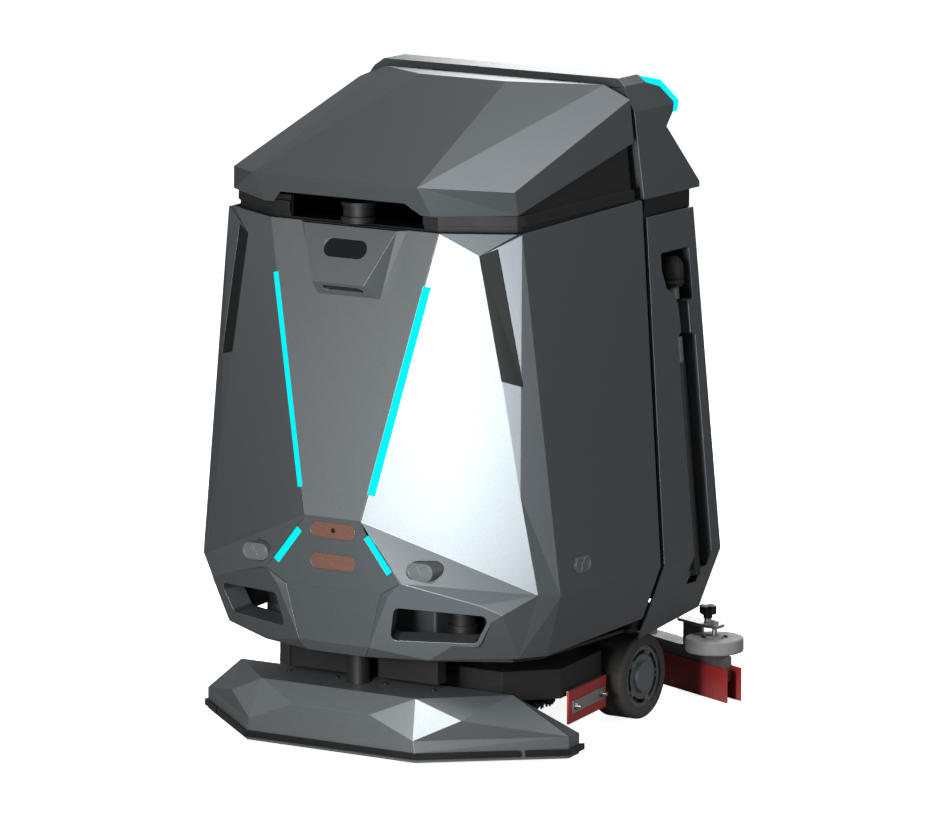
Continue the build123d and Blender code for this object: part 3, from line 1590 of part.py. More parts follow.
with BuildPart() as squeegee_arm:
    with BuildSketch(Plane.XY.offset(squeegee_top)):
        with BuildLine():
            Polyline(
                (-90, lift_rod_y - 20),
                (90, lift_rod_y - 20),
                (90, squeegee_y - 130),
                (150, squeegee_y - 62),
                (150, squeegee_y - 42),
                (40, squeegee_y - 20),
                (40, squeegee_y - 52),
                (-40, squeegee_y - 52),
                (-40, squeegee_y - 20),
                (-150, squeegee_y - 42),
                (-150, squeegee_y - 62),
                (-90, squeegee_y - 130),
                close=True,
            )
        make_face()
    extrude(amount=8)
    with BuildSketch(Plane.XY.offset(squeegee_top + 8)):
        with Locations((-lift_rod_x, lift_rod_y), (lift_rod_x, lift_rod_y)):
            Circle(lift_rod_radius)
    extrude(amount=190)
squeegee_arm.part.label = "squeegee_arm"
export_step(squeegee_arm.part, "parts/squeegee_arm.step")

roller_x = 366.0
roller_y = tail_y + 20
roller_low = 104.0
stud_radius = 5.0
bracket_y = roller_y + 36
bracket_mid_x = roller_x - 74
knob_x = roller_x - 26
knob_y = roller_y + 18
arm_z = 150.0
with BuildPart() as roller_brackets:
    for s in (-1, 1):
        with BuildSketch(Plane.XY.offset(squeegee_top)):
            with Locations((s * bracket_mid_x, bracket_y + 20)):
                Rectangle(56, 30)
        extrude(amount=8)
        with BuildSketch(Plane.XY.offset(squeegee_top)):
            with Locations((s * bracket_mid_x, bracket_y + 8)):
                Rectangle(44, 8)
        extrude(amount=arm_z + 6 - squeegee_top)
        with BuildSketch(Plane.XY.offset(arm_z)):
            with BuildLine():
                Polyline(
                    (s * (bracket_mid_x - 22), bracket_y + 12),
                    (s * (bracket_mid_x - 22), bracket_y - 18),
                    (s * (roller_x - 12), roller_y - 14),
                    (s * (roller_x + 14), roller_y - 14),
                    (s * (roller_x + 14), roller_y + 14),
                    (s * (bracket_mid_x + 40), bracket_y + 12),
                    close=True,
                )
            make_face()
        extrude(amount=6)
        with BuildSketch(Plane.XY.offset(roller_low - 9)):
            with Locations((s * roller_x, roller_y)):
                Circle(stud_radius)
        extrude(amount=arm_z + 18 - roller_low)
        with BuildSketch(Plane.XY.offset(roller_low - 9)):
            with Locations((s * roller_x, roller_y)):
                Circle(9)
        extrude(amount=8)
        with BuildSketch(Plane.XY.offset(arm_z + 6)):
            with Locations((s * roller_x, roller_y)):
                RegularPolygon(9, 6)
            with Locations((s * knob_x, knob_y)):
                Circle(7)
        extrude(amount=7)
        with BuildSketch(Plane.XY.offset(arm_z)):
            with Locations((s * knob_x, knob_y)):
                Circle(4)
        extrude(amount=31)
        with BuildSketch(Plane.XY.offset(squeegee_top + 8)):
            for bolt in (-18, 18):
                with Locations((s * (bracket_mid_x + bolt), bracket_y + 25)):
                    RegularPolygon(7, 6)
        extrude(amount=6)
roller_brackets.part.label = "roller_brackets"
export_step(roller_brackets.part, "parts/roller_brackets.step")

for side, word in ((-1, "left"), (1, "right")):
    with BuildPart() as roller:
        with BuildSketch(Plane.XY.offset(roller_low)):
            with Locations((side * roller_x, roller_y)):
                Circle(roller_radius)
        extrude(amount=roller_height)
        fillet(edges().filter_by(GeomType.CIRCLE), radius=4)
        with BuildSketch(Plane.XY.offset(roller_low + roller_height - 5)):
            with Locations((side * roller_x, roller_y)):
                Circle(27)
        extrude(amount=5, mode=Mode.SUBTRACT)
        with BuildSketch(Plane.XY.offset(roller_low + roller_height - 5)):
            with Locations((side * roller_x, roller_y)):
                Circle(18)
        extrude(amount=8)
        with BuildSketch(Plane.XY.offset(roller_low)):
            with Locations((side * roller_x, roller_y)):
                Circle(stud_radius + play)
        extrude(amount=60, mode=Mode.SUBTRACT)
    roller.part.label = f"guide_roller_{word}"
    export_step(roller.part, f"parts/guide_roller_{word}.step")

    with BuildPart() as knob:
        with BuildSketch(Plane.XY.offset(arm_z + 14)):
            with Locations((side * knob_x, knob_y)):
                Circle(9)
        extrude(amount=10)
        with BuildSketch(Plane.XY.offset(arm_z + 22)):
            with Locations((side * knob_x, knob_y)):
                RectangleRounded(34, 14, 4)
                RectangleRounded(14, 34, 4)
        extrude(amount=16)
        with BuildSketch(Plane.XY.offset(arm_z + 14)):
            with Locations((side * knob_x, knob_y)):
                Circle(4 + play)
        extrude(amount=18, mode=Mode.SUBTRACT)
    knob.part.label = f"squeegee_knob_{word}"
    export_step(knob.part, f"parts/squeegee_knob_{word}.step")

# ---------------------------------------------------------------- bumper
bumper_front_y = nose_y - 10.5
bumper_base = 27.0
bumper_low = 8.0
bumper_wall = 5.0
plate_z = 124.5
bumper_corner = (190, bumper_front_y)
bumper_end = (bumper_reach, nose_y + 181)
bumper_tail = (bumper_reach - 6, nose_y + 228)
bumper_rear_y = nose_y + 146


def bumper_half(shift=0.0):
    """The right half of the bumper as a solid block, above its base."""
    p = {
        "p0": (0, nose_y + 18, plate_z),
        "p": (174, nose_y + 18, plate_z),
        "r": (bumper_reach - 103, bumper_rear_y, plate_z),
        "r0": (0, bumper_rear_y, plate_z),
        "k0": (0, nose_y - 9, plate_z - 36),
        "k1": (87, nose_y - 9, plate_z - 36),
        "k2": (186, nose_y - 9.8, 49.5),
        "k3": (bumper_reach - 150.5, nose_y + 42, plate_z - 36.5),
        "s0": (0, bumper_front_y, bumper_base),
        "s": (*bumper_corner, bumper_base),
        "e": (*bumper_end, 50),
        "eb": (*bumper_end, bumper_base),
        "t": (*bumper_tail, 48),
        "tb": (*bumper_tail, bumper_base),
        "rb": (bumper_reach - 103, bumper_rear_y, bumper_base),
        "rb0": (0, bumper_rear_y, bumper_base),
    }
    p = {n: (x - shift, y + shift, z - shift) for n, (x, y, z) in p.items()}
    return facets(
        p,
        [
            ("p0", "p", "r", "r0"),
            ("k0", "k1", "p", "p0"),
            ("k1", "k2", "p"),
            ("k2", "k3", "p"),
            ("k0", "s0", "k1"),
            ("s0", "s", "k1"),
            ("s", "k2", "k1"),
            ("s", "e", "k2"),
            ("k2", "e", "k3"),
            ("s", "eb", "e"),
            ("k3", "r", "p"),
            ("k3", "e", "r"),
            ("e", "t", "r"),
            ("e", "eb", "tb", "t"),
            ("t", "tb", "rb"),
            ("t", "rb", "r"),
            ("r", "rb", "rb0", "r0"),
            ("s0", "rb0", "rb", "tb", "eb", "s"),
            ("p0", "r0", "rb0", "s0", "k0"),
        ],
    )


bumper_plan = [
    (0, bumper_front_y),
    bumper_corner,
    bumper_end,
    bumper_tail,
    (bumper_reach - 103, bumper_rear_y),
    (0, bumper_rear_y),
]
with BuildPart() as bumper_shell:
    add(bumper_half())
    with BuildSketch(Plane.XY.offset(bumper_low)):
        with BuildLine():
            Polyline(*bumper_plan, close=True)
        make_face()
    extrude(amount=bumper_base - bumper_low)
    add(bumper_half(bumper_wall), mode=Mode.SUBTRACT)
    with BuildSketch(Plane.XY.offset(bumper_low)):
        with BuildLine():
            Polyline(*[(x - bumper_wall, y + bumper_wall) for x, y in bumper_plan], close=True)
        make_face()
    extrude(amount=bumper_base - bumper_low, mode=Mode.SUBTRACT)
    mirror(about=Plane.YZ)
bumper_shell.part.label = "bumper_shell"
export_step(bumper_shell.part, "parts/bumper_shell.step")

strip_low = 15.0
strip_height = 12.0
with BuildPart() as bumper_strip:
    with BuildSketch(Plane.XY.offset(strip_low)):
        with BuildLine():
            Polyline(*bumper_plan, close=True)
        make_face()
        offset(amount=6, kind=Kind.INTERSECTION)
        with BuildLine():
            Polyline(*bumper_plan, close=True)
        make_face(mode=Mode.SUBTRACT)
        with Locations((0, bumper_rear_y)):
            Rectangle(2 * (bumper_reach - 60), 60, mode=Mode.SUBTRACT)
        with Locations((-300, 0)):
            Rectangle(600, 1200, mode=Mode.SUBTRACT)
    extrude(amount=strip_height)
    mirror(about=Plane.YZ)
bumper_strip.part.label = "bumper_strip"
export_step(bumper_strip.part, "parts/bumper_strip.step")

with BuildPart() as bumper_post:
    with BuildSketch(Plane.XY.offset(plate_z)):
        with Locations((0, post_y)):
            Circle(post_radius)
    extrude(amount=chassis_z - 4 - plate_z)
    with BuildSketch(Plane.XY.offset(chassis_z - 4)):
        with Locations((0, post_y)):
            Circle(8)
    extrude(amount=chassis_plate + 6)
    with BuildSketch(Plane.XY.offset(plate_top + 2)):
        with Locations((0, post_y)):
            Circle(16)
    extrude(amount=4)
bumper_post.part.label = "bumper_post"
export_step(bumper_post.part, "parts/bumper_post.step")

with BuildPart() as bumper_screws:
    for x in (-164, -55, 55, 164):
        with BuildSketch(Plane.XY.offset(plate_z)):
            with Locations((x, nose_y + 95)):
                Circle(5)
        extrude(amount=3.5)
bumper_screws.part.label = "bumper_screws"
export_step(bumper_screws.part, "parts/bumper_screws.step")

# ---------------------------------------------------------------- inside
battery_size = (300.0, 170.0, 190.0)
with BuildPart() as battery_pack:
    with BuildSketch(Plane.XY.offset(plate_top)):
        with Locations((0, -10)):
            RectangleRounded(battery_size[0], battery_size[1], 8)
    extrude(amount=battery_size[2])
battery_pack.part.label = "battery_pack"
export_step(battery_pack.part, "parts/battery_pack.step")

with BuildPart() as control_box:
    with BuildSketch(Plane.XY.offset(plate_top)):
        with Locations((0, nose_y + 240)):
            RectangleRounded(230, 120, 6)
    extrude(amount=170)
control_box.part.label = "control_box"
export_step(control_box.part, "parts/control_box.step")

vacuum_x = -190.0
vacuum_y = 150.0
with BuildPart() as vacuum_motor:
    with BuildSketch(Plane.XY.offset(plate_top)):
        with Locations((vacuum_x, vacuum_y)):
            Circle(72)
    extrude(amount=90)
    with BuildSketch(Plane.XY.offset(plate_top + 90)):
        with Locations((vacuum_x, vacuum_y)):
            Circle(50)
    extrude(amount=70)
vacuum_motor.part.label = "vacuum_motor"
export_step(vacuum_motor.part, "parts/vacuum_motor.step")

with BuildPart() as lift_actuators:
    with BuildSketch(Plane.XY.offset(plate_top)):
        with Locations((0, brush_y)):
            Circle(24)
            Circle(deck_rod_radius + play, mode=Mode.SUBTRACT)
    extrude(amount=150)
    for x in (-lift_rod_x, lift_rod_x):
        with BuildSketch(Plane.XY.offset(plate_top)):
            with Locations((x, lift_rod_y)):
                Circle(16)
                Circle(lift_rod_radius + play, mode=Mode.SUBTRACT)
        extrude(amount=170)
lift_actuators.part.label = "lift_actuators"
export_step(lift_actuators.part, "parts/lift_actuators.step")

tank_wall = 5.0
tank_low = plate_top + battery_size[2] + 25
tank_high = shoulder_z - 22
recovery_high = frame_low - 22
clean_half = 236.0
clean_front = nose_y + 112
clean_back = -20.0
filler_radius = 45.0
filler_at = (120.0, -90.0)
with BuildPart() as clean_tank:
    with BuildSketch(Plane.XY.offset(tank_low)):
        with Locations((0, (clean_front + clean_back) / 2)):
            RectangleRounded(2 * clean_half, clean_back - clean_front, 40)
    extrude(amount=tank_high - tank_low)
    offset(amount=-tank_wall, mode=Mode.SUBTRACT)
    with BuildSketch(Plane.XY.offset(tank_high - tank_wall)):
        with Locations(filler_at):
            Circle(filler_radius)
    extrude(amount=tank_wall + 12)
    with BuildSketch(Plane.XY.offset(tank_high - tank_wall)):
        with Locations(filler_at):
            Circle(filler_radius - 6)
    extrude(amount=tank_wall + 12, mode=Mode.SUBTRACT)
clean_tank.part.label = "clean_tank"
export_step(clean_tank.part, "parts/clean_tank.step")

with BuildPart() as tank_cap:
    with BuildSketch(Plane.XY.offset(tank_high + 12)):
        with Locations(filler_at):
            Circle(filler_radius + 6)
    extrude(amount=10)
    with BuildSketch(Plane.XY.offset(tank_high)):
        with Locations(filler_at):
            Circle(filler_radius + 6)
            Circle(filler_radius + travel_gap, mode=Mode.SUBTRACT)
    extrude(amount=12)
    with BuildSketch(Plane.XY.offset(tank_high + 22)):
        with Locations(filler_at):
            RectangleRounded(70, 12, 4)
    extrude(amount=12)
tank_cap.part.label = "tank_cap"
export_step(tank_cap.part, "parts/tank_cap.step")

recovery_front = clean_back + 10
recovery_back = 190.0
with BuildPart() as recovery_tank:
    with BuildSketch(Plane.XY.offset(tank_low)):
        with Locations((0, (recovery_front + recovery_back) / 2)):
            RectangleRounded(2 * clean_half, recovery_back - recovery_front, 20)
    extrude(amount=recovery_high - tank_low)
    offset(amount=-tank_wall, mode=Mode.SUBTRACT)
    with BuildSketch(Plane.XY.offset(recovery_high - tank_wall)):
        with Locations((-110, 90)):
            Circle(60)
    extrude(amount=tank_wall, mode=Mode.SUBTRACT)
    with BuildSketch(Plane.XY.offset(recovery_high)):
        with Locations((-110, 90)):
            Circle(68)
    extrude(amount=14)
recovery_tank.part.label = "recovery_tank"
export_step(recovery_tank.part, "parts/recovery_tank.step")
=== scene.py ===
import math
import bpy
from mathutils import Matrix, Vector


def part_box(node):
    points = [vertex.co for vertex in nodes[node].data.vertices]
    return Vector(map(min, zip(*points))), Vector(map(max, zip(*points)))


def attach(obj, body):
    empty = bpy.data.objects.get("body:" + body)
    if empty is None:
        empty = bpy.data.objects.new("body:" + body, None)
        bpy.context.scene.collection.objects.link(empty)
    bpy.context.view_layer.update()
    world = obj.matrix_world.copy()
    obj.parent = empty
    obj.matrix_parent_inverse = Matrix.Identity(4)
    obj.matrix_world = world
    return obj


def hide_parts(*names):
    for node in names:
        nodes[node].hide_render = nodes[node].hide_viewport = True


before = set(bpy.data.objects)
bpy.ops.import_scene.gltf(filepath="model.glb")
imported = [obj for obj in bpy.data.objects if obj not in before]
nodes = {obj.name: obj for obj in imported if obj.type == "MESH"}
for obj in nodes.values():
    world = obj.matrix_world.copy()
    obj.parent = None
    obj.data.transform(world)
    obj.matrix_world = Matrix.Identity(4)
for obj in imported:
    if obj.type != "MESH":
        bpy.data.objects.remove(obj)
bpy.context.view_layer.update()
print("frame loaded:", len(nodes), "nodes")


# sRGB hex, as a painter's chart gives it, to the linear numbers that the shader wants
def linearColour(hexText):
    raw = [int(hexText[i:i + 2], 16) / 255 for i in (1, 3, 5)]
    linear = [c / 12.92 if c <= 0.04045 else ((c + 0.055) / 1.055) ** 2.4 for c in raw]
    return (*linear, 1.0)


# adds a node, sets it up, and links or fills its inputs
def addNode(tree, kind, inputs=None, **settings):
    node = tree.nodes.new(kind)
    for name, value in settings.items():
        setattr(node, name, value)
    for name, value in (inputs or {}).items():
        if isinstance(value, bpy.types.NodeSocket):
            tree.links.new(value, node.inputs[name])
        else:
            node.inputs[name].default_value = value
    return node


# ---- finishes
# every opaque finish is built the same way from a few real sizes in millimetres: a fine grain for
# bump, a broad mottle for colour and roughness, and floor dust that fades out with height
floorDust = {"colour": "#8a8378", "speckleMm": 18, "height": 0.25}


def makeFinish(name, look):
    material = bpy.data.materials.new(name)
    material.use_nodes = True
    tree = material.node_tree
    shader = tree.nodes["Principled BSDF"]
    coords = addNode(tree, "ShaderNodeTexCoord")
    place = addNode(tree, "ShaderNodeMapping", {"Vector": coords.outputs["Object"]})
    place.inputs["Scale"].default_value = look.get("stretch", (1, 1, 1))
    grain = addNode(tree, "ShaderNodeTexNoise", {
        "Vector": place.outputs["Vector"],
        "Scale": 1000 / look["grainMm"],
        "Detail": look.get("grainDetail", 3.0),
        "Roughness": 0.6,
    })
    mottle = addNode(tree, "ShaderNodeTexNoise", {
        "Vector": place.outputs["Vector"],
        "Scale": 1000 / look["mottleMm"],
        "Detail": 4.0,
        "Roughness": 0.55,
    })
    # a colour mix has its factor on socket 0, its two colours on 6 and 7, and its result on 2
    colour = addNode(tree, "ShaderNodeMix", {
        0: mottle.outputs["Fac"], 6: linearColour(look["colour"]), 7: linearColour(look["colourTwo"]),
    }, data_type="RGBA")
    mono = addNode(tree, "ShaderNodeRGBToBW", {"Color": grain.outputs["Color"]})
    flake = addNode(tree, "ShaderNodeMix", {
        0: look.get("flake", 0.0), 6: colour.outputs[2], 7: mono.outputs[0],
    }, blend_type="OVERLAY", data_type="RGBA")
    rough = addNode(tree, "ShaderNodeMapRange", {
        "Value": mottle.outputs["Fac"],
        "From Min": 0.3,
        "From Max": 0.7,
        "To Min": look["roughness"][0],
        "To Max": look["roughness"][1],
    })
    finalColour, finalRough = flake.outputs[2], rough.outputs["Result"]
    if look.get("dust"):
        height = addNode(tree, "ShaderNodeSeparateXYZ", {"Vector": coords.outputs["Object"]})
        fade = addNode(tree, "ShaderNodeMapRange", {
            "Value": height.outputs["Z"],
            "From Min": 0.0,
            "From Max": look.get("dustHeight", floorDust["height"]),
            "To Min": look["dust"],
            "To Max": 0.0,
        })
        speckle = addNode(tree, "ShaderNodeTexNoise", {
            "Vector": coords.outputs["Object"], "Scale": 1000 / floorDust["speckleMm"],
            "Detail": 6.0, "Roughness": 0.7,
        })
        amount = addNode(tree, "ShaderNodeMath", {
            0: fade.outputs["Result"], 1: speckle.outputs["Fac"],
        }, operation="MULTIPLY", use_clamp=True)
        dusty = addNode(tree, "ShaderNodeMix", {
            0: amount.outputs[0], 6: finalColour, 7: linearColour(floorDust["colour"]),
        }, data_type="RGBA")
        dull = addNode(tree, "ShaderNodeMath", {
            0: finalRough, 1: amount.outputs[0],
        }, operation="ADD", use_clamp=True)
        finalColour, finalRough = dusty.outputs[2], dull.outputs[0]
    bump = addNode(tree, "ShaderNodeBump", {
        "Height": grain.outputs["Fac"],
        "Strength": look["bump"],
        "Distance": look["grainMm"] / 1000 * look.get("relief", 0.3),
    })
    tree.links.new(finalColour, shader.inputs["Base Color"])
    tree.links.new(finalRough, shader.inputs["Roughness"])
    tree.links.new(bump.outputs["Normal"], shader.inputs["Normal"])
    shader.inputs["Metallic"].default_value = look.get("metallic", 0.0)
    if "ior" in look:
        shader.inputs["IOR"].default_value = look["ior"]
    if "coat" in look:
        shader.inputs["Coat Weight"].default_value = look["coat"]
        shader.inputs["Coat Roughness"].default_value = look.get("coatRoughness", 0.1)
    if "sheen" in look:
        shader.inputs["Sheen Weight"].default_value = look["sheen"]
    return material


# a lit diffuser: even, saturated light with a faint mottle of the plastic behind it
def makeLight(name, look):
    material = bpy.data.materials.new(name)
    material.use_nodes = True
    tree = material.node_tree
    shader = tree.nodes["Principled BSDF"]
    coords = addNode(tree, "ShaderNodeTexCoord")
    cloud = addNode(tree, "ShaderNodeTexNoise", {
        "Vector": coords.outputs["Object"], "Scale": 1000 / look["mottleMm"], "Detail": 2.0,
    })
    glow = addNode(tree, "ShaderNodeMix", {
        0: cloud.outputs["Fac"], 6: linearColour(look["glow"]), 7: linearColour(look["glowTwo"]),
    }, data_type="RGBA")
    tree.links.new(glow.outputs[2], shader.inputs["Emission Color"])
    shader.inputs["Emission Strength"].default_value = look["strength"]
    shader.inputs["Base Color"].default_value = linearColour(look["base"])
    shader.inputs["Roughness"].default_value = look["roughness"]
    shader.inputs["Specular IOR Level"].default_value = 0.0
    return material


# the screen shows a plain grid of lit tiles in two tones with dark lines between, no words
def makeScreen(name, look):
    material = bpy.data.materials.new(name)
    material.use_nodes = True
    tree = material.node_tree
    shader = tree.nodes["Principled BSDF"]
    coords = addNode(tree, "ShaderNodeTexCoord")
    tiles = addNode(tree, "ShaderNodeTexBrick", {
        "Vector": coords.outputs["Object"],
        "Color1": linearColour(look["tile"]),
        "Color2": linearColour(look["tileTwo"]),
        "Mortar": linearColour(look["base"]),
        "Scale": 1.0,
        "Mortar Size": look["lineMm"] / 1000,
        "Brick Width": look["tileMm"][0] / 1000,
        "Row Height": look["tileMm"][1] / 1000,
    })
    tree.links.new(tiles.outputs["Color"], shader.inputs["Emission Color"])
    shader.inputs["Emission Strength"].default_value = look["strength"]
    shader.inputs["Base Color"].default_value = linearColour(look["base"])
    shader.inputs["Roughness"].default_value = look["roughness"]
    shader.inputs["Coat Weight"].default_value = 1.0
    return material


looks = {
    # sprayed slate metallic over moulded ABS: satin, soft wide highlights, and a flake that is drawn
    # coarser than the real one so that it shows
    "slatePaint": {"colour": "#505558", "colourTwo": "#4e5356", "metallic": 0.72, "roughness": (0.40, 0.41),
                   "grainMm": 2.2, "mottleMm": 120, "bump": 0.14, "relief": 0.10, "flake": 0.34},
    # the same slate paint drawn one shade lighter on the centre panel and the visor: a painted highlight
    # standing in for the light their facets catch
    "litSlatePaint": {"colour": "#5f6365", "colourTwo": "#5c6062", "metallic": 0.7, "roughness": (0.44, 0.46),
                  "grainMm": 2.2, "mottleMm": 120, "bump": 0.14, "relief": 0.10, "flake": 0.34},
    # the same slate paint low on the machine, where floor dust gathers
    "bumperPaint": {"colour": "#5c6163", "colourTwo": "#575c5f", "metallic": 0.72, "roughness": (0.41, 0.44),
                    "grainMm": 2.2, "mottleMm": 90, "bump": 0.14, "relief": 0.10, "flake": 0.34,
                    "dust": 0.10, "dustHeight": 0.12},
    # spark-eroded black ABS: dull, fine-grained, hides its seams
    "blackPlastic": {"colour": "#0c0c0d", "colourTwo": "#101011", "roughness": (0.5, 0.6), "ior": 1.3,
                     "grainMm": 0.9, "mottleMm": 60, "bump": 0.25},
    # black inlay sheet in the corner strips, smoother than the moulded plastic
    "inlaySheet": {"colour": "#0e0f0f", "colourTwo": "#111212", "roughness": (0.5, 0.55), "ior": 1.2,
                   "grainMm": 1.2, "mottleMm": 80, "bump": 0.12},
    # grey-painted sonar bezel, slightly rougher than the body
    "sonarBezel": {"colour": "#5c6062", "colourTwo": "#54585a", "metallic": 0.5, "roughness": (0.38, 0.46),
                   "grainMm": 1.0, "mottleMm": 40, "bump": 0.12},
    # smoked bronze window over the depth cameras: dark copper, glossy with a brushed underlayer
    "bronzeWindow": {"colour": "#8d6858", "colourTwo": "#6a4a3e", "metallic": 0.7, "roughness": (0.22, 0.34),
                     "grainMm": 1.6, "mottleMm": 7, "bump": 0.3, "coat": 0.6},
    # smoked polycarbonate window in the visor: almost black, glossy
    "smokedWindow": {"colour": "#0a0b0b", "colourTwo": "#0e0f10", "roughness": (0.12, 0.16), "ior": 1.35,
                     "grainMm": 2.0, "mottleMm": 30, "bump": 0.02, "coat": 0.15},
    # black powder coat on folded steel: pebbled, half dull
    "powderCoat": {"colour": "#0b0b0c", "colourTwo": "#111112", "roughness": (0.5, 0.6), "ior": 1.35,
                   "grainMm": 1.6, "mottleMm": 50, "bump": 0.35, "dust": 0.04, "dustHeight": 0.12},
    # grey powder coat on motors and boxes
    "motorCoat": {"colour": "#3b3e41", "colourTwo": "#333639", "roughness": (0.4, 0.5), "ior": 1.5,
                  "grainMm": 1.6, "mottleMm": 50, "bump": 0.3},
    # zinc-plated steel: pale, slightly yellowed, streaked along the rolling direction
    "zincSteel": {"colour": "#a9a9a4", "colourTwo": "#8d8e8c", "metallic": 1.0, "roughness": (0.28, 0.42),
                  "grainMm": 0.8, "mottleMm": 14, "bump": 0.15, "stretch": (1, 1, 6), "dust": 0.15},
    # die-cast aluminium, tumbled: soft grey, cloudy
    "castAluminium": {"colour": "#7b7b7b", "colourTwo": "#666768", "metallic": 0.8, "roughness": (0.45, 0.58),
                      "grainMm": 1.1, "mottleMm": 12, "bump": 0.35, "dust": 0.25},
    # polyurethane tyre: black, chalky, scuffed at the tread
    "wheelTyre": {"colour": "#131313", "colourTwo": "#1d1d1c", "roughness": (0.62, 0.8), "ior": 1.5,
                  "grainMm": 1.2, "mottleMm": 16, "bump": 0.4, "dust": 0.3, "dustHeight": 0.16},
    # painted wheel disc, satin blue-grey
    "wheelPaint": {"colour": "#5d6468", "colourTwo": "#52595d", "metallic": 0.6, "roughness": (0.35, 0.46),
                   "grainMm": 1.2, "mottleMm": 20, "bump": 0.15, "dust": 0.2, "dustHeight": 0.2},
    # red linatex squeegee rubber: matt, slightly cloudy, grubby at the floor
    "redRubber": {"colour": "#9b1f22", "colourTwo": "#831a1d", "roughness": (0.5, 0.62), "ior": 1.5,
                  "grainMm": 1.0, "mottleMm": 20, "bump": 0.2, "dust": 0.3, "dustHeight": 0.05},
    # EPDM strip and hose rubber: black with a grey bloom
    "blackRubber": {"colour": "#080808", "colourTwo": "#0e0e0e", "roughness": (0.4, 0.5), "ior": 1.35,
                    "grainMm": 0.8, "mottleMm": 14, "bump": 0.2},
    # grey polyurethane guide rollers, turned faces
    "greyRoller": {"colour": "#7c7c7c", "colourTwo": "#6a6a6a", "roughness": (0.5, 0.65), "ior": 1.5,
                   "grainMm": 1.0, "mottleMm": 18, "bump": 0.25, "dust": 0.3, "dustHeight": 0.2},
    # natural polyethylene tanks, cloudy white
    "tankPlastic": {"colour": "#c9c8c0", "colourTwo": "#bdbcb4", "roughness": (0.4, 0.5), "ior": 1.54,
                    "grainMm": 2.0, "mottleMm": 80, "bump": 0.15},
    # grey moulded valve neck
    "greyPlastic": {"colour": "#4c4e50", "colourTwo": "#434547", "roughness": (0.4, 0.5), "ior": 1.5,
                    "grainMm": 1.0, "mottleMm": 20, "bump": 0.2},
    # gloss mouldings on the console
    "redGloss": {"colour": "#b3161b", "colourTwo": "#a01216", "roughness": (0.18, 0.25), "ior": 1.5,
                 "grainMm": 2.0, "mottleMm": 20, "bump": 0.03, "coat": 0.5},
    "yellowGloss": {"colour": "#e0ab12", "colourTwo": "#d49f0d", "roughness": (0.22, 0.3), "ior": 1.5,
                    "grainMm": 2.0, "mottleMm": 20, "bump": 0.03, "coat": 0.4},
    # crimped nylon: grey-blue, dull, each tuft a little different
    "nylonBristle": {"colour": "#4d5560", "colourTwo": "#363c45", "roughness": (0.45, 0.6), "ior": 1.53,
                     "grainMm": 2.0, "mottleMm": 6, "bump": 0.1},
}
finishes = {name: makeFinish(name, look) for name, look in looks.items()}
finishes["cyanLight"] = makeLight("cyanLight", {
    "glow": "#00ffff", "glowTwo": "#00f6ff", "mottleMm": 20, "strength": 1.0,
    "base": "#000000", "roughness": 0.5,
})
finishes["screenGlass"] = makeScreen("screenGlass", {
    "tile": "#123c46", "tileTwo": "#0b2a33", "base": "#05090b", "tileMm": (40, 22), "lineMm": 1.5,
    "strength": 0.9, "roughness": 0.12,
})
print("finishes made:", len(finishes))

# ---- which finish each moulded, folded or turned part has, and how soft its edges are
dressed = {
    "slatePaint": ["front_cover", "rear_shell", "hood", "tail_cap", "nose_panel", "chin_panel"],
    # the centre panel and the visor take the lighter copy of the slate paint, a painted highlight
    "litSlatePaint": ["centre_panel", "camera_visor"],
    "bumperPaint": ["bumper_shell"],
    "blackPlastic": ["upper_frame", "top_lidar", "corner_lidars", "depth_cameras", "drain_cap", "tank_cap",
                     "squeegee_knob_left", "squeegee_knob_right", "power_button"],
    "inlaySheet": ["corner_inlays"],
    "sonarBezel": ["front_sonars", "side_sonars"],
    "bronzeWindow": ["camera_windows"],
    "smokedWindow": ["visor_windows"],
    "powderCoat": ["chassis_frame", "deck_housing", "bumper_post", "bumper_screws"],
    "motorCoat": ["brush_motors", "control_box", "vacuum_motor", "battery_pack"],
    "zincSteel": ["hinge_pins", "caster_fork", "deck_rod", "skirt_clamps", "squeegee_arm", "roller_brackets",
                  "lift_actuators"],
    "castAluminium": ["squeegee_body"],
    "wheelTyre": ["tyre_left", "tyre_right", "caster_wheel"],
    "wheelPaint": ["wheel_hub_left", "wheel_hub_right"],
    "redRubber": ["deck_skirts", "squeegee_blades"],
    "blackRubber": ["bumper_strip", "drain_hose"],
    "greyRoller": ["guide_roller_left", "guide_roller_right"],
    "tankPlastic": ["clean_tank", "recovery_tank"],
    "greyPlastic": ["drain_neck"],
    "redGloss": ["estop_button"],
    "yellowGloss": ["estop_collar"],
    "nylonBristle": ["disc_brush_left", "disc_brush_right"],
    "cyanLight": ["led_strips", "tail_light"],
    "screenGlass": ["display_screen"],
}
edges = {
    "flatPanels": {"width": 0.0009, "angle": 4, "clamp": False, "names": [
        "front_cover", "rear_shell", "hood", "tail_cap", "camera_visor", "nose_panel", "chin_panel",
        "centre_panel", "bumper_shell", "upper_frame"]},
    "turned": {"width": 0.0004, "angle": 30, "clamp": True},
    "weld": 0.00001,  # corners this close together become one
    "coplanar": 0.6,  # faces within this many degrees join into one
    "segments": 2,
}


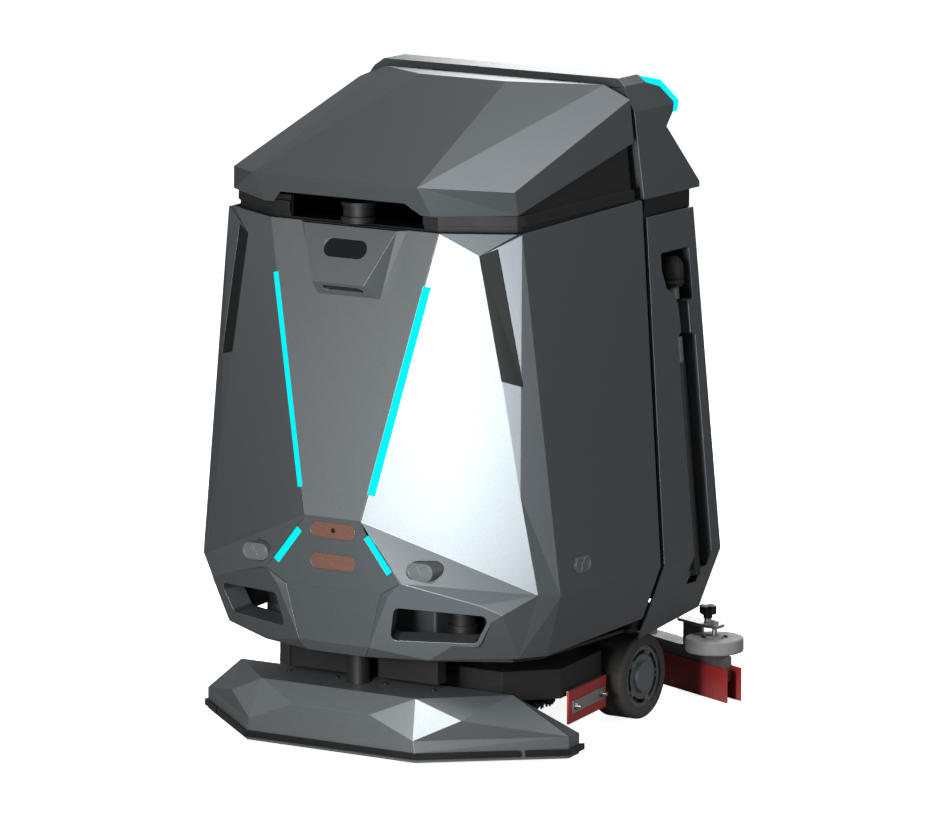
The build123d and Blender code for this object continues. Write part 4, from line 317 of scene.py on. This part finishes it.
# merges the loose triangles, joins those of one plane into one face, and rounds the real edges
def softenEdges(piece, width, angle, clamp):
    weld = piece.modifiers.new("weld", "WELD")
    weld.merge_threshold = edges["weld"]
    plane = piece.modifiers.new("plane", "DECIMATE")
    plane.decimate_type = "DISSOLVE"
    plane.angle_limit = math.radians(edges["coplanar"])
    bevel = piece.modifiers.new("bevel", "BEVEL")
    bevel.width = width
    bevel.segments = edges["segments"]
    bevel.limit_method = "ANGLE"
    bevel.angle_limit = math.radians(angle)
    bevel.use_clamp_overlap = clamp
    bevel.harden_normals = True
    with bpy.context.temp_override(object=piece, active_object=piece):
        bpy.ops.mesh.customdata_custom_splitnormals_clear()
    piece.data.polygons.foreach_set("use_smooth", [True] * len(piece.data.polygons))


for finish, names in dressed.items():
    for name in names:
        piece = nodes[name]
        piece.data.materials.clear()
        piece.data.materials.append(finishes[finish])
        flat = name in edges["flatPanels"]["names"]
        kind = edges["flatPanels"] if flat else edges["turned"]
        softenEdges(piece, kind["width"], kind["angle"], kind["clamp"])
print("parts dressed:", sum(len(names) for names in dressed.values()))


# ---- pieces made by rule
# makes a Geometry Nodes tree with the named inputs and sets their default values
def makeTree(name, inputs):
    tree = bpy.data.node_groups.new(name, "GeometryNodeTree")
    tree.interface.new_socket("Geometry", in_out="INPUT", socket_type="NodeSocketGeometry")
    for label, (kind, value) in inputs.items():
        socket = tree.interface.new_socket(label, in_out="INPUT", socket_type=kind)
        if kind != "NodeSocketMaterial":
            socket.default_value = value
    tree.interface.new_socket("Geometry", in_out="OUTPUT", socket_type="NodeSocketGeometry")
    return tree, addNode(tree, "NodeGroupInput"), addNode(tree, "NodeGroupOutput")


# runs a tree on an empty mesh and keeps the plain mesh that comes out
def growPiece(name, tree, inputs, body):
    seed = bpy.data.objects.new(name + "Seed", bpy.data.meshes.new(name + "Seed"))
    bpy.context.scene.collection.objects.link(seed)
    grow = seed.modifiers.new("grow", "NODES")
    grow.node_group = tree
    for item in tree.interface.items_tree:
        if item.item_type == "SOCKET" and item.in_out == "INPUT" and item.name in inputs:
            grow[item.identifier] = inputs[item.name][1]
    bpy.context.view_layer.update()
    evaluated = seed.evaluated_get(bpy.context.evaluated_depsgraph_get())
    mesh = bpy.data.meshes.new_from_object(evaluated)
    bpy.data.objects.remove(seed)
    mesh.name = name
    piece = bpy.data.objects.new(name, mesh)
    bpy.context.scene.collection.objects.link(piece)
    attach(piece, body)
    return piece


# corrugated drain hose: a straight run whose radius swells and shrinks once for each rib
hoseLow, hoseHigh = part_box("drain_hose")
hose = {
    "radius": 0.019,
    "rib": 0.0105,  # from crest to crest
    "relief": 0.10,  # how far the radius swells, as a share of it
    "inset": 1.003,  # the ends stand this many radii inside the box of the plain hose
    "shortfall": 0.002,  # kept clear of the neck and the seat at each end
    "around": 28,
}
hoseFoot = Vector((
    hoseHigh.x - hose["radius"] * hose["inset"], hoseLow.y + hose["radius"], hoseLow.z + hose["shortfall"],
))
hoseHead = Vector((
    hoseLow.x + hose["radius"] * hose["inset"], hoseHigh.y - hose["radius"], hoseHigh.z - hose["shortfall"],
))
hoseInputs = {
    "Foot": ("NodeSocketVector", hoseFoot),
    "Head": ("NodeSocketVector", hoseHead),
    "Radius": ("NodeSocketFloat", hose["radius"]),
    "Rib": ("NodeSocketFloat", hose["rib"]),
    "Relief": ("NodeSocketFloat", hose["relief"]),
    "Finish": ("NodeSocketMaterial", finishes["blackRubber"]),
}
tree, given, result = makeTree("ribbedHose", hoseInputs)
line = addNode(tree, "GeometryNodeCurvePrimitiveLine", {
    "Start": given.outputs["Foot"], "End": given.outputs["Head"],
})
spacing = addNode(tree, "ShaderNodeMath", {0: given.outputs["Rib"], 1: 6.0}, operation="DIVIDE")
fine = addNode(tree, "GeometryNodeResampleCurve", {
    "Curve": line.outputs["Curve"], "Length": spacing.outputs[0],
}, mode="LENGTH")
along = addNode(tree, "GeometryNodeSplineParameter")
turns = addNode(tree, "ShaderNodeMath", {
    0: along.outputs["Length"], 1: given.outputs["Rib"],
}, operation="DIVIDE")
phase = addNode(tree, "ShaderNodeMath", {0: turns.outputs[0], 1: 2 * math.pi}, operation="MULTIPLY")
wave = addNode(tree, "ShaderNodeMath", {0: phase.outputs[0]}, operation="SINE")
swell = addNode(tree, "ShaderNodeMath", {
    0: wave.outputs[0], 1: given.outputs["Relief"], 2: 1 - hose["relief"],
}, operation="MULTIPLY_ADD")
sized = addNode(tree, "GeometryNodeSetCurveRadius", {
    "Curve": fine.outputs["Curve"], "Radius": swell.outputs[0],
})
ring = addNode(tree, "GeometryNodeCurvePrimitiveCircle", {
    "Resolution": hose["around"], "Radius": given.outputs["Radius"],
})
tube = addNode(tree, "GeometryNodeCurveToMesh", {
    "Curve": sized.outputs["Curve"], "Profile Curve": ring.outputs["Curve"], "Fill Caps": True,
})
smooth = addNode(tree, "GeometryNodeSetShadeSmooth", {"Geometry": tube.outputs["Mesh"]})
real = addNode(tree, "GeometryNodeRealizeInstances", {"Geometry": smooth.outputs["Geometry"]})
coloured = addNode(tree, "GeometryNodeSetMaterial", {
    "Geometry": real.outputs["Geometry"], "Material": given.outputs["Finish"],
})
tree.links.new(coloured.outputs["Geometry"], result.inputs["Geometry"])
ribbedHose = growPiece("ribbedHose", tree, hoseInputs, "body")
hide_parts("drain_hose")
print("hose grown:", len(ribbedHose.data.polygons), "faces")

# disc brushes: tufts of nylon set in rings round a moulded disc
brush = {
    "outer": 0.118,
    "inner": 0.058,
    "disc": 0.124,
    "tuft": 0.0028,
    "spacing": 0.0052,
    "splay": 0.16,
    "taper": 0.75,  # a tuft's tip, as a share of its root
    "sides": 5,
    "bristleReach": 0.032,  # from the tips up to the disc
    "discHeight": 0.010,
    "sunk": 0.0008,  # the tufts go this far into the disc
}
brushInputs = {
    "Centre": ("NodeSocketVector", (0, 0, 0)),
    "Length": ("NodeSocketFloat", 0.03),
    "Outer": ("NodeSocketFloat", brush["outer"]),
    "Inner": ("NodeSocketFloat", brush["inner"]),
    "Spacing": ("NodeSocketFloat", brush["spacing"]),
    "Tuft": ("NodeSocketFloat", brush["tuft"]),
    "Splay": ("NodeSocketFloat", brush["splay"]),
    "Seed": ("NodeSocketInt", 7),
    "Finish": ("NodeSocketMaterial", finishes["nylonBristle"]),
}
tree, given, result = makeTree("brushTufts", brushInputs)
disc = addNode(tree, "GeometryNodeMeshCircle", {
    "Vertices": 72, "Radius": given.outputs["Outer"],
}, fill_type="NGON")
spots = addNode(tree, "GeometryNodeDistributePointsOnFaces", {
    "Mesh": disc.outputs["Mesh"],
    "Distance Min": given.outputs["Spacing"],
    "Density Max": 45000.0,
    "Seed": given.outputs["Seed"],
}, distribute_method="POISSON")
where = addNode(tree, "GeometryNodeInputPosition")
reach = addNode(tree, "ShaderNodeVectorMath", {0: where.outputs["Position"]}, operation="LENGTH")
inside = addNode(tree, "FunctionNodeCompare", {
    0: reach.outputs["Value"], 1: given.outputs["Inner"],
}, operation="LESS_THAN", data_type="FLOAT")
kept = addNode(tree, "GeometryNodeDeleteGeometry", {
    "Geometry": spots.outputs["Points"], "Selection": inside.outputs["Result"],
}, domain="POINT")
tip = addNode(tree, "ShaderNodeMath", {0: given.outputs["Tuft"], 1: brush["taper"]}, operation="MULTIPLY")
tuft = addNode(tree, "GeometryNodeMeshCone", {
    "Vertices": brush["sides"], "Radius Top": given.outputs["Tuft"], "Radius Bottom": tip.outputs[0],
    "Depth": given.outputs["Length"],
})
lean = addNode(tree, "FunctionNodeRandomValue", {"Seed": given.outputs["Seed"]}, data_type="FLOAT_VECTOR")
lean.inputs["Min"].default_value = (-brush["splay"], -brush["splay"], 0)
lean.inputs["Max"].default_value = (brush["splay"], brush["splay"], 3.1)
tufts = addNode(tree, "GeometryNodeInstanceOnPoints", {
    "Points": kept.outputs["Geometry"], "Instance": tuft.outputs["Mesh"], "Rotation": lean.outputs["Value"],
})
real = addNode(tree, "GeometryNodeRealizeInstances", {"Geometry": tufts.outputs["Instances"]})
moved = addNode(tree, "GeometryNodeTransform", {
    "Geometry": real.outputs["Geometry"], "Translation": given.outputs["Centre"],
})
coloured = addNode(tree, "GeometryNodeSetMaterial", {
    "Geometry": moved.outputs["Geometry"], "Material": given.outputs["Finish"],
})
tree.links.new(coloured.outputs["Geometry"], result.inputs["Geometry"])


# a turned body from a profile of radius and height
def lathe(name, profile, centre, material, body, around=64):
    steps = [(math.cos(2 * math.pi * i / around), math.sin(2 * math.pi * i / around)) for i in range(around)]
    points = [(centre[0] + r * c, centre[1] + r * s, z) for r, z in profile for c, s in steps]
    faces = []
    for ringNumber in range(len(profile) - 1):
        for i in range(around):
            j = (i + 1) % around
            low, high = ringNumber * around, (ringNumber + 1) * around
            faces.append((low + i, low + j, high + j, high + i))
    faces.append(tuple(reversed(range(around))))
    faces.append(tuple(range((len(profile) - 1) * around, len(profile) * around)))
    mesh = bpy.data.meshes.new(name)
    mesh.from_pydata(points, [], faces)
    mesh.materials.append(material)
    piece = bpy.data.objects.new(name, mesh)
    bpy.context.scene.collection.objects.link(piece)
    softenEdges(piece, edges["turned"]["width"], edges["turned"]["angle"], True)
    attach(piece, body)
    return piece


for side in ("left", "right"):
    low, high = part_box("disc_brush_" + side)
    centre = (low + high) / 2
    plateLow = low.z + brush["bristleReach"]
    plateTop = plateLow + brush["discHeight"]
    middle = low.z + brush["bristleReach"] / 2 + 0.0005 + brush["sunk"]
    brushInputs["Centre"] = ("NodeSocketVector", (centre.x, centre.y, middle))
    brushInputs["Length"] = ("NodeSocketFloat", brush["bristleReach"])
    tufts = growPiece("brushTufts_" + side, tree, brushInputs, "brush_" + side)
    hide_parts("disc_brush_" + side)
    plate = lathe("brushDisc_" + side, [
        (0.120, plateLow), (brush["disc"], plateLow + 0.002), (brush["disc"], plateTop - 0.003),
        (0.120, plateTop), (0.034, plateTop + 0.002), (0.030, plateTop + 0.024), (0.009, plateTop + 0.024),
        (0.008, high.z),
    ], (centre.x, centre.y), finishes["blackPlastic"], "brush_" + side)
    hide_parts("disc_brush_" + side)
    print("brush", side, len(tufts.data.polygons), "faces")

# ---- stage
stageSet = {
    "floor": "#ffffff",
    "bounce": "#808080",  # how pale the floor is for the light that it throws back up
    "lift": 0.85,  # the floor's own glow, which turns it white and leaves a faint contact shadow
    "floorSpan": 40.0,
}
floorMesh = bpy.data.meshes.new("floor")
span = stageSet["floorSpan"] / 2
floorCorners = [(-span, -span, 0), (span, -span, 0), (span, span, 0), (-span, span, 0)]
floorMesh.from_pydata(floorCorners, [], [(0, 1, 2, 3)])
floor = bpy.data.objects.new("floor", floorMesh)
bpy.context.scene.collection.objects.link(floor)
floorPaint = bpy.data.materials.new("floorPaint")
floorPaint.use_nodes = True
floorTree = floorPaint.node_tree
floorShader = floorTree.nodes["Principled BSDF"]
floorShader.inputs["Base Color"].default_value = linearColour(stageSet["floor"])
floorShader.inputs["Roughness"].default_value = 0.9
floorShader.inputs["Specular IOR Level"].default_value = 0.0
floorShader.inputs["Emission Color"].default_value = (1, 1, 1, 1)
floorShader.inputs["Emission Strength"].default_value = stageSet["lift"]
floorRay = addNode(floorTree, "ShaderNodeLightPath")
floorDark = addNode(floorTree, "ShaderNodeBsdfDiffuse", {"Color": linearColour(stageSet["bounce"])})
floorBoth = addNode(floorTree, "ShaderNodeMixShader", {0: floorRay.outputs["Is Camera Ray"]})
floorTree.links.new(floorDark.outputs[0], floorBoth.inputs[1])
floorTree.links.new(floorShader.outputs[0], floorBoth.inputs[2])
floorTree.links.new(floorBoth.outputs[0], floorTree.nodes["Material Output"].inputs["Surface"])
floorMesh.materials.append(floorPaint)

# soft boxes: where each stands, what it looks at, its size in metres and its power in watts
softBoxes = {
    "key": {"at": (0.45, -1.5, 0.60), "to": (0.2, -0.42, 0.68), "size": (0.12, 0.9), "watts": 27},
    "low": {"at": (0.5, -3.2, 0.9), "to": (0.1, -0.5, 0.1), "size": (0.8, 0.5), "watts": 60},
    "top": {"at": (0.6, 0.4, 4.2), "to": (0.0, -0.1, 1.0), "size": (2.5, 2.0), "watts": 125},
    "leftFill": {"at": (-3.6, -1.8, 1.6), "to": (0.0, -0.2, 0.7), "size": (1.6, 2.2), "watts": 20},
    "rightFill": {"at": (4.2, 1.2, 1.8), "to": (0.2, 0.1, 0.6), "size": (1.6, 2.2), "watts": 55},
    "back": {"at": (-1.5, 4.0, 2.4), "to": (0.0, 0.1, 0.8), "size": (2.0, 1.6), "watts": 60},
}
for name, box in softBoxes.items():
    lamp = bpy.data.lights.new(name, "AREA")
    lamp.shape = "RECTANGLE"
    lamp.size, lamp.size_y = box["size"]
    lamp.energy = box["watts"]
    holder = bpy.data.objects.new(name, lamp)
    bpy.context.scene.collection.objects.link(holder)
    holder.location = box["at"]
    holder.visible_camera = False
    aim = Vector(box["to"]) - Vector(box["at"])
    holder.rotation_euler = aim.to_track_quat("-Z", "Y").to_euler()

# the room is dim for the paint and white behind the machine
world = bpy.data.worlds.new("studio")
bpy.context.scene.world = world
world.use_nodes = True
sky = world.node_tree
sky.nodes.clear()
ray = addNode(sky, "ShaderNodeLightPath")
dim = addNode(sky, "ShaderNodeBackground", {"Color": (0.95, 0.975, 1.0, 1), "Strength": 0.29})
white = addNode(sky, "ShaderNodeBackground", {"Color": (1, 1, 1, 1), "Strength": 1.0})
both = addNode(sky, "ShaderNodeMixShader", {0: ray.outputs["Is Camera Ray"]})
sky.links.new(dim.outputs[0], both.inputs[1])
sky.links.new(white.outputs[0], both.inputs[2])
addNode(sky, "ShaderNodeOutputWorld", {"Surface": both.outputs[0]})
bpy.context.scene.view_settings.view_transform = "Standard"

# ---- camera: a long lens from the front right, a little above
shot = {
    "azimuth": 33.04,
    "elevation": 10.28,
    "aim": (0.0, -0.12, 0.56),
    "distance": 15.628,
    "lens": 309.5,
    "shift": (0.0396, 0.0285),
}
turn, rise = math.radians(shot["azimuth"]), math.radians(shot["elevation"])
back = Vector((math.sin(turn) * math.cos(rise), -math.cos(turn) * math.cos(rise), math.sin(rise)))
lens = bpy.data.cameras.new("camera")
lens.lens = shot["lens"]
lens.sensor_width = 36.0
lens.shift_x, lens.shift_y = shot["shift"]
lens.clip_end = 200.0
camera = bpy.data.objects.new("camera", lens)
bpy.context.scene.collection.objects.link(camera)
camera.location = Vector(shot["aim"]) + back * shot["distance"]
camera.rotation_euler = (-back).to_track_quat("-Z", "Y").to_euler()
bpy.context.scene.camera = camera
print("stage and camera set")
